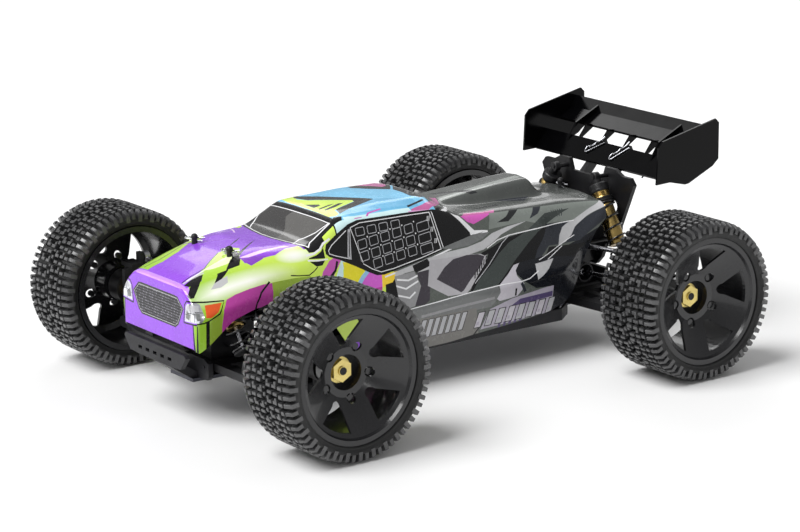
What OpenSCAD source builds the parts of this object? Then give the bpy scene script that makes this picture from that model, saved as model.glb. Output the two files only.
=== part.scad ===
// Radio-controlled off-road truck: four driven wheels on sprung double arms,
// a thin painted body shell and a tall rear wing.
// +X is the vehicle's left, -Y its nose, +Z up; the origin lies on the ground
// under the middle of the overall box.

/* [Wheels] */
// Distance between the axles
wheelbase = 375; // [371:1:378]
// Width over the tyres
width_over_tyres = 425; // [424:1:428]
// Tyre diameter over the knobs
tyre_d = 144; // [143:1:145]
// Tyre width
tyre_w = 70; // [69:1:70]
// Number of spokes in a wheel
spoke_count = 5; // [5:1:6]

/* [Chassis] */
// Ground clearance under the chassis plate
ride_height = 30; // [30:0.5:31]
// Thickness of the chassis plate
plate_t = 3; // [2.5:0.5:3]
// Front axle's distance ahead of the middle
front_axle = 200; // [199:1:201]

/* [Gears] */
// Teeth on the spur gear
spur_teeth = 46; // [46]
// Teeth on the motor pinion
pinion_teeth = 14; // [14]
// Tooth module of both gears
tooth_module = 1; // [1]

/* [Shell] */
// Thickness of the body shell
shell_t = 1.4; // [1.2:0.1:1.6]
// Thickness of the wing
wing_t = 2; // [1.8:0.1:2.4]

/* [Hidden] */
$fn = 48;
front_y = -front_axle;
rear_y = wheelbase - front_axle;
axle_z = tyre_d / 2;
tyre_r = tyre_d / 2;
face_x = width_over_tyres / 2;      // outer face of the left tyres
tyre_in_x = face_x - tyre_w;        // inner face of the left tyres
plate_top = ride_height + plate_t;
running = 0.06;                     // radial play of a shaft or pin that turns
pin_r = 1.5;
pin_fit = 0.03;                     // play of a pin in the part that holds it fast
ball_r = 3.2;

// Suspension points, [x, z] in the plane of the axle
arm_in = [26, 44];                  // inner hinge of the lower arm
arm_out = [136, 46];                // outer hinge of the lower arm
link_in = [40, 86];                 // chassis ball of the upper link
link_out = [140, 101];              // outer ball of the upper link
rear_link_in = [40, 92];
cup_in = [34, 64];                  // inner joint of the drive shaft
kingpin_x = 150;                    // also the outer joint of the drive shaft
shock_foot = [78, 54];
shock_top = [26, 126];
rear_shock_foot = [84, 54];
rear_shock_top = [29, 150];
shock_v = 20;                       // the shock stands this far outside the axle line
link_v = -10;                       // and the upper link this far inside it

// Steering points
crank = [20, -160];                 // pivot of a bellcrank, [x, y]
steer_r = 26;                       // length of every steering arm
horn = [-34, -116];                 // servo shaft
rod_in = [40, -146, 58.5];           // inner ball of the track rod
rod_out = [150, front_y + steer_r, 65];
shaft_z = 58;                       // height of the centre shafts
motor_x = -tooth_module * (spur_teeth + pinion_teeth) / 2;
box_y = 6.5;                        // the overall box's middle, behind the datum of the axles

// ---------- placing ----------
// Moves a finished part so that the origin is under the middle of the overall box
module placed() { translate([0, -box_y, 0]) children(); }
module flip_x(on) { if (on) mirror([1, 0, 0]) children(); else children(); }
module flip_y(on) { if (on) mirror([0, 1, 0]) children(); else children(); }

// One corner of the car: +X outwards, +Y away from the middle, Y = 0 on the axle line
module corner(front, right) {
    translate([0, front ? front_y : rear_y, 0]) flip_y(front) flip_x(right) children();
}
module along_x(y, z, r, x0, x1) {
    translate([x0, y, z]) rotate([0, 90, 0]) cylinder(r = r, h = x1 - x0);
}
module along_y(p, r, y0, y1) {
    translate([p[0], y1, p[1]]) rotate([90, 0, 0]) cylinder(r = r, h = y1 - y0);
}
// A plate whose outline is given in [x, z], between two values of y
module plate_xz(points, y0, y1) {
    translate([0, y1, 0]) rotate([90, 0, 0]) linear_extrude(y1 - y0) polygon(points);
}
// A plate whose outline is given in [y, z], between two values of x
module plate_yz(points, x0, x1) {
    translate([x0, 0, 0]) rotate([90, 0, 90]) linear_extrude(x1 - x0) polygon(points);
}
module slab(x0, x1, y0, y1, z0, z1) {
    translate([x0, y0, z0]) cube([x1 - x0, y1 - y0, z1 - z0]);
}
// A solid of revolution about the axle, from an outline in [radius, x]
module about_axle(points) {
    translate([0, 0, axle_z]) rotate([0, 90, 0]) rotate_extrude($fn = 96) polygon(points);
}
function mirrored(half) =
    concat(half, [for (i = [len(half) - 1:-1:0]) [-half[i][0], half[i][1]]]);

// ---------- wheels ----------
bead_r = 54;
lip_r = 57;
dish_r = 48;
hub_r = 21;

module tyre() {
    shoulder = tyre_r - 1.5;
    color("#202022") difference() {
        about_axle([
            [bead_r, tyre_in_x + 5.5], [bead_r, face_x - 9.2], [lip_r + 0.3, face_x - 7.3],
            [lip_r + 0.3, face_x - 2.5], [60, face_x - 1.5], [64, face_x - 0.2],
            [67.5, face_x], [shoulder, face_x - 1], [tyre_r, face_x - 5.5],
            [tyre_r, tyre_in_x + 5.5], [shoulder, tyre_in_x + 1], [67.5, tyre_in_x],
            [64, tyre_in_x + 0.2], [60, tyre_in_x + 1.5], [lip_r + 0.3, tyre_in_x + 2.5],
            [lip_r + 0.3, tyre_in_x + 3.8]
        ]);
        about_axle([
            [57, tyre_in_x + 9], [57, face_x - 11], [62, face_x - 6], [66, face_x - 6.5],
            [67, face_x - 12], [67, tyre_in_x + 12], [66, tyre_in_x + 6.5], [62, tyre_in_x + 6]
        ]);
    }
}

window_in = 29.5;
window_out = 47.5;
window_tip = 5;
window_half = 19;
first_spoke = 28;
peg_circle = 22.5;

function window_outline() = concat(
    [for (t = [90:22.5:270]) [window_in + window_tip * cos(t), window_tip * sin(t)]],
    [for (a = [-window_half:window_half / 4:window_half]) [window_out * cos(a), window_out * sin(a)]]
);

module rim() {
    pitch = 360 / spoke_count;
    color("#4c4c50") {
        difference() {
            about_axle([
                [lip_r, face_x - 3.5], [52.5, face_x - 3.5], [51, face_x - 6], [dish_r, face_x - 7.5],
                [hub_r, face_x - 22.5], [15, face_x - 22.5], [15, face_x - 33.5], [4.1, face_x - 33.5],
                [4.1, face_x - 42.5], [16, face_x - 42.5], [17.5, face_x - 27], [47, face_x - 11],
                [52, face_x - 14.5], [52, tyre_in_x + 0.5], [lip_r, tyre_in_x + 0.5],
                [lip_r, tyre_in_x + 3.5], [bead_r, tyre_in_x + 5.2], [bead_r, face_x - 8.8],
                [lip_r, face_x - 7]
            ]);
            for (i = [0:spoke_count - 1]) {
                translate([0, 0, axle_z]) rotate([-first_spoke - pitch * (i + 0.5), 0, 0])
                    plate_yz(window_outline(), face_x - 36, face_x);
                translate([0, 0, axle_z]) rotate([-first_spoke - pitch * i, 0, 0])
                    along_x(peg_circle, 0, 4.3, face_x - 25.5, face_x);
            }
        }
        for (i = [0:spoke_count - 1]) {
            translate([0, 0, axle_z]) rotate([-first_spoke - pitch * i, 0, 0])
                along_x(peg_circle, 0, 2.8, face_x - 26.5, face_x - 23);
        }
    }
}

// Stub axle with its joint cup, hexagon drive and wheel nut
module axle() {
    color("#c9a14a") {
        about_axle([
            [8, 145.5], [10, 145.5], [10, 161], [4, 161], [4, face_x - 26.5], [0, face_x - 26.5],
            [0, 159], [8, 159]
        ]);
        difference() {
            translate([165, 0, axle_z]) rotate([0, 90, 0]) cylinder(d = 17 / cos(30), h = 4.8, $fn = 6);
            along_x(0, axle_z, 4.05, 160, 175);
        }
        difference() {
            union() {
                translate([face_x - 33.3, 0, axle_z]) rotate([0, 90, 0])
                    cylinder(d = 17 / cos(30), h = 5.6, $fn = 6);
                along_x(0, axle_z, 11, face_x - 33.3, face_x - 32);
            }
            along_x(0, axle_z, 4.05, face_x - 40, face_x);
        }
    }
}

// ---------- uprights ----------
bearing_outer = 13;
module bearing_rings() {
    difference() {
        along_x(0, axle_z, bearing_outer - 0.03, 150, 154);
        along_x(0, axle_z, 10 + running, 149, 155);
    }
    difference() {
        along_x(0, axle_z, 6.97, 161.3, 164.3);
        along_x(0, axle_z, 4 + running, 160, 166);
    }
}
module axle_bores() {
    along_x(0, axle_z, bearing_outer, 140, 156);
    along_x(0, axle_z, 10.6, 140, 161);
    along_x(0, axle_z, 7, 160, 166);
}

module knuckle() {
    arm_y = -steer_r;
    color("#2b2b2e") {
        difference() {
            union() {
                along_x(0, axle_z, 15, 149, 164.5);
                translate([kingpin_x, 0, 52.6]) cylinder(r = 5, h = 39.8);
                translate([0, 0, 53.2]) linear_extrude(4)
                    polygon([
                        [146, 0], [155, 0], [155, -16], [153.5, arm_y - 3], [146.5, arm_y - 3],
                        [146, arm_y + 3]
                    ]);
            }
            axle_bores();
            translate([kingpin_x, 0, 50]) cylinder(r = pin_r + running, h = 7);
            translate([kingpin_x, 0, 88]) cylinder(r = pin_r + running, h = 8);
        }
        bearing_rings();
    }
    color("#c8c8cc") {
        translate([rod_out[0], arm_y, 57.2]) cylinder(r = pin_r, h = 7);
        translate([rod_out[0], arm_y, rod_out[2]]) sphere(r = ball_r);
    }
}

module hinge_boss() {
    difference() {
        along_y(arm_out, 5, -10.6, 10.6);
        along_y(arm_out, pin_r + running, -12, 12);
    }
}

module caster_block() {
    color("#2b2b2e") {
        hinge_boss();
        difference() {
            union() {
                slab(136, 140.5, -6, 10.4, 49, 59);
                slab(136, 140.5, -14, 14, 58, 93);
                slab(138, 155, -6, 6, 46, 52);
                slab(136, 155, -6, 6, 93, 97);
                slab(136, 140.5, -7, 6, 92, 97);
                slab(136, 144, -7, -3, 93, 106);
            }
            along_x(0, 71.5, 9.5, 130, 145);
            along_y(arm_out, pin_r + running, -12, 12);
            along_y([136, 46], 4.9, -12, 12);
        }
    }
    color("#c8c8cc") {
        translate([kingpin_x, 0, 46]) cylinder(r = pin_r, h = 10.5);
        translate([kingpin_x, 0, 88.5]) cylinder(r = pin_r, h = 8.5);
        along_y(link_out, pin_r, link_v, -7);
        translate([link_out[0], link_v, link_out[1]]) sphere(r = ball_r);
    }
}

module rear_hub() {
    color("#2b2b2e") {
        hinge_boss();
        difference() {
            union() {
                along_x(0, axle_z, 15, 145.5, 164.5);
                slab(138, 150, -9, 9, 49, 62);
                slab(136, 149.5, -7, -3, 83, 107);
            }
            axle_bores();
            along_y([136, 46], 4.9, -12, 12);
        }
        bearing_rings();
    }
    color("#c8c8cc") {
        along_y(link_out, pin_r, link_v, -7);
        translate([link_out[0], link_v, link_out[1]]) sphere(r = ball_r);
    }
}

// ---------- arms and links ----------
module lower_arm(foot) {
    arm_top = 47.5;
    color("#29292c") difference() {
        union() {
            along_y(arm_in, 5, -28, 28);
            translate([0, 0, 40.5]) linear_extrude(arm_top - 40.5) difference() {
                polygon([[26, -27], [44, -27], [128, -18], [128, 18], [98, 26], [44, 27], [26, 27]]);
                polygon([[42, -18], [66, -15], [66, -4], [42, -4]]);
                polygon([[42, 4], [66, 4], [66, 13], [42, 17]]);
                polygon([[74, -13], [118, -9], [118, -3], [74, -3]]);
                polygon([[98, 4], [118, 4], [118, 12], [98, 13]]);
            }
            for (v = [-18, 11]) {
                along_y(arm_out, 5, v, v + 7);
                slab(124, arm_out[0], v, v + 7, 41, 47.5);
            }
            for (v = [shock_v - 5, shock_v + 3])
                plate_xz([
                    [foot[0] - 7, 45], [foot[0] + 7, 45], [foot[0] + 4, foot[1] + 3.5],
                    [foot[0] - 4, foot[1] + 3.5]
                ], v, v + 2);
        }
        along_y(arm_in, pin_r + running, -30, 30);
    }
    color("#c8c8cc") {
        along_y(arm_out, pin_r, -10.9, 10.9);
        along_y(foot, pin_r, shock_v - 2.9, shock_v + 2.9);
    }
}

// A rod with a ball cup at each end; the outer cup is wide, since that end is free
module ball_link(a, b, axis_z = false) {
    span = norm(b - a);
    u = (b - a) / span;
    color("#b9bbbf") difference() {
        union() {
            translate(a) cup_body(axis_z);
            translate(b) cup_body(axis_z);
            translate(a + u * 4.5) orient(u) cylinder(r = 2.2, h = span - 9);
        }
        if (axis_z) translate(a) {
            sphere(r = ball_r + running);
            rotate([90, 0, 0]) cylinder(r = pin_r + running, h = 12, center = true);
        } else translate(a) cup_hole(axis_z, ball_r + running);
        translate(b) cup_hole(axis_z, ball_r + 1.1);
    }
}
module cup_body(axis_z) {
    rotate([axis_z ? 0 : 90, 0, 0]) cylinder(r = 5.4, h = axis_z ? 4 : 5, center = true);
}
module cup_hole(axis_z, r) {
    rotate([axis_z ? 0 : 90, 0, 0]) cylinder(r = r, h = 7, center = true);
}
// Turns +Z onto the direction u
module orient(u) {
    rotate([0, acos(u[2]), atan2(u[1], u[0])]) children();
}
module upper_link(inner) {
    ball_link([inner[0], link_v, inner[1]], [link_out[0], link_v, link_out[1]]);
}

// ---------- shock absorbers ----------
// Drawn down the shock's own axis: s = 0 at the top eye, s = length at the foot
module on_shock(top, foot) {
    lean = atan2(foot[0] - top[0], top[1] - foot[1]);
    translate([top[0], shock_v, top[1]]) rotate([0, 180 - lean, 0]) children();
}
function shock_length(top, foot) = norm(foot - top);
function body_end(length) = length * 0.6;
collar_s = 25;
bore_r = 6.3;

module shock_body(top, foot) {
    bottom = body_end(shock_length(top, foot));
    color("#c9a14a") on_shock(top, foot) difference() {
        union() {
            rotate([90, 0, 0]) cylinder(r = 4.6, h = 6, center = true);
            translate([0, 0, 3]) cylinder(r = 4, h = 5);
            translate([0, 0, 7]) cylinder(r = 9, h = 8);
            translate([0, 0, 14]) cylinder(r = 7.8, h = bottom - 14);
            translate([0, 0, collar_s - 4]) cylinder(r = 9.5, h = 4);
        }
        rotate([90, 0, 0]) cylinder(r = 2 + running, h = 8, center = true);
        translate([0, 0, 13]) cylinder(r = bore_r, h = bottom - 16);
        translate([0, 0, 12]) cylinder(r = pin_r + running, h = bottom);
    }
}

module shock_rod(top, foot) {
    length = shock_length(top, foot);
    piston_s = body_end(length) * 0.72;
    color("#c8c8cc") on_shock(top, foot) difference() {
        union() {
            translate([0, 0, piston_s]) cylinder(r = bore_r - running, h = 3);
            translate([0, 0, piston_s]) cylinder(r = pin_r, h = length - piston_s - 7);
            translate([0, 0, length - 15]) cylinder(r = 9.2, h = 2.5);
            translate([0, 0, length - 13]) cylinder(r = 2.7, h = 10.5);
            translate([0, 0, length]) rotate([90, 0, 0]) cylinder(r = 4.2, h = 5, center = true);
        }
        translate([0, 0, length]) rotate([90, 0, 0]) cylinder(r = pin_r + 0.9, h = 8, center = true);
    }
}

// Spring: a wire of five sides swept along a helix, its end turns held level
spring_r = 8.9;
wire_r = 0.75;
turn_steps = 12;
function helix(k, turns, rise) =
    let (a = 360 * k / turn_steps)
    [spring_r * cos(a), spring_r * sin(a), rise * k / (turns * turn_steps)];
function wire_ring(k, turns, rise) = let (b = 360 * k / turn_steps) [for (a = [0:72:359])
    helix(k, turns, rise) + wire_r * [cos(a) * cos(b), cos(a) * sin(b), sin(a)]];

module spring(top, foot, turns) {
    rise = shock_length(top, foot) - 15 - collar_s - 2 * wire_r - 0.4;
    steps = turns * turn_steps;
    color("#17171a") on_shock(top, foot) translate([0, 0, collar_s + wire_r + 0.2]) polyhedron(
        points = [for (k = [0:steps], p = wire_ring(k, turns, rise)) p],
        faces = concat(
            [[4, 3, 2, 1, 0]],
            [for (k = [0:steps - 1], a = [0:4]) [k * 5 + a, k * 5 + (a + 1) % 5, k * 5 + 5 + (a + 1) % 5]],
            [for (k = [0:steps - 1], a = [0:4]) [k * 5 + a, k * 5 + 5 + (a + 1) % 5, k * 5 + 5 + a]],
            [[for (a = [0:4]) steps * 5 + a]]
        )
    );
}

// ---------- drive line ----------
module driveshaft() {
    a = [cup_in[0], 0, cup_in[1]];
    b = [kingpin_x, 0, axle_z];
    u = (b - a) / norm(b - a);
    color("#c8c8cc") {
        translate(a) orient(u) cylinder(r = 2.2, h = norm(b - a));
        for (p = [a, b]) translate(p) {
            sphere(r = 3.8);
            rotate([90, 0, 0]) cylinder(r = 1.1, h = 10, center = true);
        }
    }
}

// Outline of a gear with straight-sided teeth; a tooth lies on the +X axis
function gear_outline(teeth, backlash) = let (
    pitch_r = teeth * tooth_module / 2,
    step = 360 / teeth,
    tip = pitch_r + 0.9 * tooth_module,
    root = pitch_r - 1.2 * tooth_module
) [for (i = [0:teeth - 1], c = [[root, -0.36], [tip, -0.13], [tip, 0.13], [root, 0.36]])
    c[0] * [cos(step * (i + c[1] * backlash)), sin(step * (i + c[1] * backlash))]];

module spur_gear() {
    color("#2b2b2e") translate([0, 3, shaft_z]) rotate([90, 0, 0]) linear_extrude(6) difference() {
        polygon([for (p = gear_outline(spur_teeth, 0.94)) [-p[0], p[1]]]);
        circle(r = 11.5);
    }
    color("#8d8f94") {
        along_y([0, shaft_z], 11.48, -17, 8.4);
        along_y([0, shaft_z], 8.5, 8.3, 14);
        along_y([0, shaft_z], 5, -24, 22);
        along_y([0, shaft_z], 3, -171, -23);
        along_y([0, shaft_z], 3, 21, 147);
        for (y = [-171, 147]) translate([0, y, shaft_z]) sphere(r = 4);
    }
}
module pinion() {
    color("#c9a14a") difference() {
        translate([motor_x, 3, shaft_z]) rotate([90, 0, 0]) linear_extrude(6)
            rotate(180 / pinion_teeth) polygon(gear_outline(pinion_teeth, 0.94));
        along_y([motor_x, shaft_z], 2.45, -5, 5);
    }
    color("#c8c8cc") along_y([motor_x, shaft_z], 2.5, -3.5, 12);
}

module outdrive_cup() {
    difference() {
        along_x(0, cup_in[1], 9, 19, 40);
        along_x(0, cup_in[1], 7.5, 24.5, 42);
    }
}
// Gearbox at one end of the car, with the blocks that hold the hinge pins
module end_housing(top_z) {
    difference() {
        union() {
            plate_xz(mirrored([[14, plate_top], [20, plate_top + 6], [20, top_z - 8], [12, top_z]]), -22, 22);
            along_y([0, shaft_z], 9, -28, -21);
        }
        along_y([0, shaft_z], 6, -30, -20);
    }
    for (v = [-33.4, 28.6]) difference() {
        plate_xz(mirrored([[30, plate_top], [33, 36], [33, 48], [26, 51]]), v, v + 4.8);
        for (s = [-1, 1]) along_y([s * arm_in[0], arm_in[1]], pin_r + pin_fit, v - 1, v + 6);
        along_y([0, shaft_z], 8, v - 1, v + 6);
    }
    for (s = [-1, 1]) along_y([s * arm_in[0], arm_in[1]], pin_r, -34.2, 34.2);
    outdrive_cup();
    mirror([1, 0, 0]) outdrive_cup();
}
module drive_housings() {
    color("#2f3033") {
        corner(true, false) end_housing(84);
        corner(false, false) end_housing(88);
        for (y = [-23.5, 17.5]) difference() {
            plate_xz(mirrored([[8.5, plate_top], [8.5, 66], [5, 70]]), y, y + 4);
            along_y([0, shaft_z], 5 + running, y - 1, y + 5);
        }
    }
    color("#8d8f94") for (s = [-1, 1])
        translate([s * crank[0], crank[1], plate_top]) cylinder(r = 2.5, h = 35.5);
}

// ---------- steering ----------
module bellcrank(s) {
    color("#2b2b2e") difference() {
        translate([s * crank[0], crank[1], 0]) union() {
            translate([0, 0, 60]) cylinder(r = 5.5, h = 8);
            translate([-3.5, 0, 62]) cube([7, steer_r, 6]);
            translate([0, steer_r, 62]) cylinder(r = 4, h = 9.2);
        }
        translate([s * crank[0], crank[1], 50]) cylinder(r = 2.5 + running, h = 30);
    }
    color("#c8c8cc") translate([s * crank[0], crank[1] + steer_r, 71]) cylinder(r = pin_r, h = 4);
}
module steering_plate() {
    y0 = crank[1] + steer_r;
    color("#8d8f94") difference() {
        translate([0, 0, 71.6]) linear_extrude(3)
            polygon([
                [rod_in[0] + 4, rod_in[1] - 4], [rod_in[0] + 4, rod_in[1] + 4], [24, y0 + 5], [-18, y0 + 5],
                [horn[0] + 5, horn[1] + steer_r + 5], [horn[0] - 5, horn[1] + steer_r + 5],
                [horn[0] - 5, horn[1] + steer_r - 6], [-27, y0], [-rod_in[0] - 4, rod_in[1] + 4],
                [-rod_in[0] - 4, rod_in[1] - 4], [-22, y0 - 7], [22, y0 - 7]
            ]);
        for (s = [-1, 1]) translate([s * crank[0], y0, 70]) cylinder(r = pin_r + running, h = 6);
        translate([horn[0], horn[1] + steer_r, 70]) cylinder(r = pin_r + running, h = 6);
    }
    color("#c8c8cc") for (s = [-1, 1]) {
        translate([s * rod_in[0], rod_in[1], rod_in[2]]) cylinder(r = pin_r, h = 13.1);
        translate([s * rod_in[0], rod_in[1], rod_in[2]]) sphere(r = ball_r);
        along_y([s * rod_in[0], rod_in[2]], pin_r, rod_in[1] - 4.6, rod_in[1] + 4.6);
    }
}
module track_rod() { ball_link(rod_in, rod_out, true); }
module servo_horn() {
    color("#2b2b2e") difference() {
        translate([horn[0], horn[1], 67]) union() {
            cylinder(r = 6, h = 4);
            translate([-3, 0, 0]) cube([6, steer_r, 4]);
            translate([0, steer_r, 0]) cylinder(r = 4, h = 4);
        }
        translate([horn[0], horn[1], 66]) cylinder(r = 3 + running, h = 4);
    }
    color("#c8c8cc") translate([horn[0], horn[1] + steer_r, 70.5]) cylinder(r = pin_r, h = 4);
}

// ---------- fixed parts ----------
module chassis_plate() {
    outline = [[18, -240], [22, -178], [44, -150], [56, -110], [56, 108], [44, 140], [22, 160], [20, 212]];
    color("#3a3b3f") difference() {
        translate([0, 0, ride_height]) linear_extrude(plate_t) polygon(mirrored(outline));
        for (s = [-1, 1], y = [-90, -30, 30, 90])
            translate([s * 48, y, ride_height - 1]) cylinder(r = 1.6, h = plate_t + 2);
        for (y = [-80, -50, 60, 95])
            translate([0, y, ride_height - 1]) cylinder(r = 5, h = plate_t + 2);
    }
}

guard_outer = [[54, -98], [67, -88], [68, 124], [54, 142]];
bumper_outline = [[26, 50], [41, 51], [50, 62], [48, 64.5], [20, 64.5]];
module guards_and_bumpers() {
    color("#2c2d30") {
        for (s = [0, 1]) flip_x(s == 1) translate([0, 0, plate_top]) {
            linear_extrude(2) polygon(concat(guard_outer, [[46, 137], [54, 112]]));
            linear_extrude(11) polygon(concat(guard_outer, [[53, 139], [66, 123], [65, -87], [54, -95]]));
        }
        difference() {
            plate_xz(mirrored(bumper_outline), -266, -261.4);
            for (x = [-24:12:24]) slab(x - 3, x + 3, -270, -255, 55, 58);
        }
        plate_yz([[-265, 50], [-240, plate_top], [-234, plate_top], [-234, 38], [-262, 55]], -15, 15);
        plate_xz(mirrored([[22, 36], [30, 42], [26, 60]]), 209.8, 214);
        slab(-16, 16, 213.5, 226, 38, 44);
    }
}

front_tower = [
    [14, 84.5], [32, 81.5], [46, 81.5], [46, 96], [36, 118], [33, 128.6], [20, 128.6], [12, 116]
];
rear_tower = [
    [14, 62], [22, 70], [28, 84], [46, 86], [48, 104], [54, 117], [67, 146], [62, 152],
    [50, 152], [40, 157], [26, 157], [22, 146]
];
module shock_towers() {
    y_front = front_y - 8;
    y_rear = rear_y + 34;
    color("#232325") {
        plate_xz(mirrored(front_tower), y_front, y_front + 4);
        slab(-18, 18, y_front + 3.9, y_front + 14, 84.3, 88);
        difference() {
            plate_xz(mirrored(rear_tower), y_rear, y_rear + 4);
            for (s = [-1, 1]) along_y([s * 38, 122], 6, y_rear - 1, y_rear + 5);
        }
        slab(-13, 13, rear_y + 22.1, y_rear + 0.1, 66, 74);
    }
    color("#c8c8cc") for (s = [-1, 1]) {
        along_y([s * shock_top[0], shock_top[1]], 2, front_y - 24, y_front);
        along_y([s * rear_shock_top[0], rear_shock_top[1]], 2, rear_y + 16, y_rear);
        along_y([s * link_in[0], link_in[1]], pin_r, y_front + 4, front_y + 10);
        along_y([s * rear_link_in[0], rear_link_in[1]], pin_r, rear_y - 10, y_rear);
        translate([s * link_in[0], front_y + 10, link_in[1]]) sphere(r = ball_r);
        translate([s * rear_link_in[0], rear_y - 10, rear_link_in[1]]) sphere(r = ball_r);
    }
}

module motor() {
    color("#2a2a2d") difference() {
        union() {
            along_y([motor_x, shaft_z], 20, 9, 76);
            along_y([motor_x, shaft_z], 8, 75, 79);
            plate_xz([
                [motor_x - 20, plate_top], [motor_x - 20, 74], [motor_x, 80], [-12, 74],
                [-12, plate_top]
            ], 5, 9.5);
            for (a = [0:20:359]) translate([motor_x, 16, shaft_z]) rotate([0, a, 0])
                translate([-0.8, 0, 19]) cube([1.6, 54, 1.7]);
        }
        along_y([motor_x, shaft_z], 2.5 + running, 0, 14);
    }
}
module battery_pack() {
    tray_z = plate_top + 2.2;           // clears the floor of the side guard
    color("#3d4b57") {
        slab(27, 53.8, -86, 55, plate_top, 76);
        slab(53, 63.5, -86, 55, tray_z, 76);
    }
    color("#1c1c1e") for (y = [-60, 20]) difference() {
        slab(25.6, 64.6, y - 9, y + 9, plate_top, 77.4);
        slab(26.9, 63.6, y - 10, y + 10, plate_top - 1, 76.1);
        slab(53.9, 70, y - 10, y + 10, plate_top - 1, tray_z);
    }
}
module electronics() {
    color("#222226") {
        slab(-53.5, -14, -128, -88, plate_top, 66);
        translate([horn[0], horn[1], 65.5]) cylinder(r = 3, h = 4.4);
        slab(-53, -22, -78, -26, plate_top, 62);
        for (x = [-50:5:-26]) slab(x, x + 2, -74, -30, 61.5, 69);
        slab(18, 56, -128, -102, plate_top, 58);
    }
}

// ---------- body shell ----------
// Each station: y, then [x, z] of the crown, the hump's top and foot, the upper edge,
// the shoulder, the crease and the lower edge
shell_stations = [
    [-261, [0, 120.5], [17, 120.5], [28, 120.5], [39, 119.5], [51, 111], [60, 98], [57.5, 65]],
    [-250, [0, 126], [17, 126], [28, 125.5], [42, 123.5], [56, 111], [64, 100], [62, 73]],
    [-228, [0, 133], [17, 133], [28, 132], [44, 130], [59, 115], [66, 104], [65.5, 88]],
    [-205, [0, 138.5], [17, 138.5], [30, 138], [47, 135], [62, 119], [66.5, 108], [66, 97.5]],
    [-180, [0, 142], [17, 142], [31, 142], [50, 138.5], [62, 124], [66.5, 111], [66.5, 100.5]],
    [-150, [0, 142], [17, 142], [34, 141.5], [53, 139.5], [62, 128], [67.5, 113], [68, 99]],
    [-138, [0, 142.5], [17, 142.5], [34, 142], [53.5, 141], [62, 128], [69, 110], [70, 88]],
    [-122, [0, 152], [17, 152], [34, 151.5], [51, 150.5], [62, 127], [71.5, 102], [71.5, 62]],
    [-108, [0, 160], [17, 160], [34, 159.5], [49, 158.5], [62, 124], [73.5, 94], [72, 43]],
    [-92, [0, 162.5], [17, 162.5], [34, 162], [49.5, 158.5], [62, 120], [75, 84], [71.5, 37]],
    [-50, [0, 164.5], [17, 164.5], [34, 163.5], [50, 157.5], [62, 116], [76, 71], [71, 35.5]],
    [-8, [0, 164], [17, 164], [34, 162.5], [50.5, 154], [62, 116], [77, 73], [71, 36]],
    [6, [0, 157.5], [17, 157], [33, 154], [51, 150.5], [61.5, 118], [77.5, 74.5], [71, 37]],
    [20, [0, 151], [17, 150.5], [25, 147], [52, 144], [61, 120], [78, 76], [71.5, 38.5]],
    [56, [0, 154], [17, 153], [24, 143.5], [47, 140.5], [60, 117.5], [78, 78], [72, 41]],
    [104, [0, 157], [17, 156], [24, 141.5], [44, 137.5], [55.5, 121.5], [77, 80], [72, 45]],
    [126, [0, 158], [16.5, 156.5], [23.5, 140.5], [43, 136.5], [51.5, 121], [73.5, 84], [71.5, 51]],
    [136, [0, 144], [16.5, 143], [23.5, 140], [42.5, 136], [50.5, 120.5], [70, 89], [70, 60]],
    [152, [0, 140], [16.5, 140], [24, 139], [43, 135.5], [50, 121.5], [62, 102], [65.5, 88]],
    [170, [0, 138], [16.5, 138], [25, 137.5], [46, 134.5], [51, 124], [58, 115], [60.5, 109]],
    [184, [0, 136.5], [16.5, 136.5], [26, 136], [50, 133], [55, 130], [57.5, 126], [58.5, 119]]
];
post_places = [[28, -206], [-28, -206], [0, 177]];
shell_points = 7;
shell_rows = len(shell_stations);
last = 2 * shell_points - 2;

// Point j of station i on the outer skin, from the right lower edge over the top to the left
function outer_point(i, j) = let (k = abs(j - shell_points + 1), p = shell_stations[i][k + 1])
    [(j < shell_points - 1 ? -1 : 1) * p[0], shell_stations[i][0], p[1]];
function inner_point(i, j) = let (
    a = outer_point(i, max(j - 1, 0)),
    b = outer_point(i, min(j + 1, last)),
    d = [b[0] - a[0], 0, b[2] - a[2]] / norm([b[0] - a[0], 0, b[2] - a[2]])
) outer_point(i, j)
    + shell_t * [-abs(d[2]) * sign(j - shell_points + 1), 0, -abs(d[0])]
    + [0, i == 0 ? shell_t : 0, 0];
function at(i, j) = i * (last + 1) + j;
function within(i, j) = at(i, j) + shell_rows * (last + 1);

module body_shell() {
    rows = [0:shell_rows - 2];
    cols = [0:last - 1];
    end = shell_rows - 1;
    color("#8a5cd6") difference() {
        shell_skin(rows, cols, end);
        for (p = post_places) translate([p[0], p[1], 120]) cylinder(r = 3.4, h = 40);
    }
}
module shell_skin(rows, cols, end) {
    polyhedron(
        points = concat(
            [for (i = [0:end], j = [0:last]) outer_point(i, j)],
            [for (i = [0:end], j = [0:last]) inner_point(i, j)]
        ),
        faces = concat(
            [for (i = rows, j = cols) [at(i, j), at(i + 1, j), at(i + 1, j + 1)]],
            [for (i = rows, j = cols) [at(i, j), at(i + 1, j + 1), at(i, j + 1)]],
            [for (i = rows, j = cols) [within(i, j), within(i + 1, j + 1), within(i + 1, j)]],
            [for (i = rows, j = cols) [within(i, j), within(i, j + 1), within(i + 1, j + 1)]],
            [for (i = rows) [at(i, 0), within(i, 0), within(i + 1, 0), at(i + 1, 0)]],
            [for (i = rows) [at(i, last), at(i + 1, last), within(i + 1, last), within(i, last)]],
            [for (j = cols) [at(end, j), within(end, j), within(end, j + 1), at(end, j + 1)]],
            [[for (j = [0:last]) at(0, j)]],
            [[for (j = [last:-1:0]) within(0, j)]],
            [[at(0, 0), at(0, last), within(0, last), within(0, 0)]]
        )
    );
}

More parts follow.
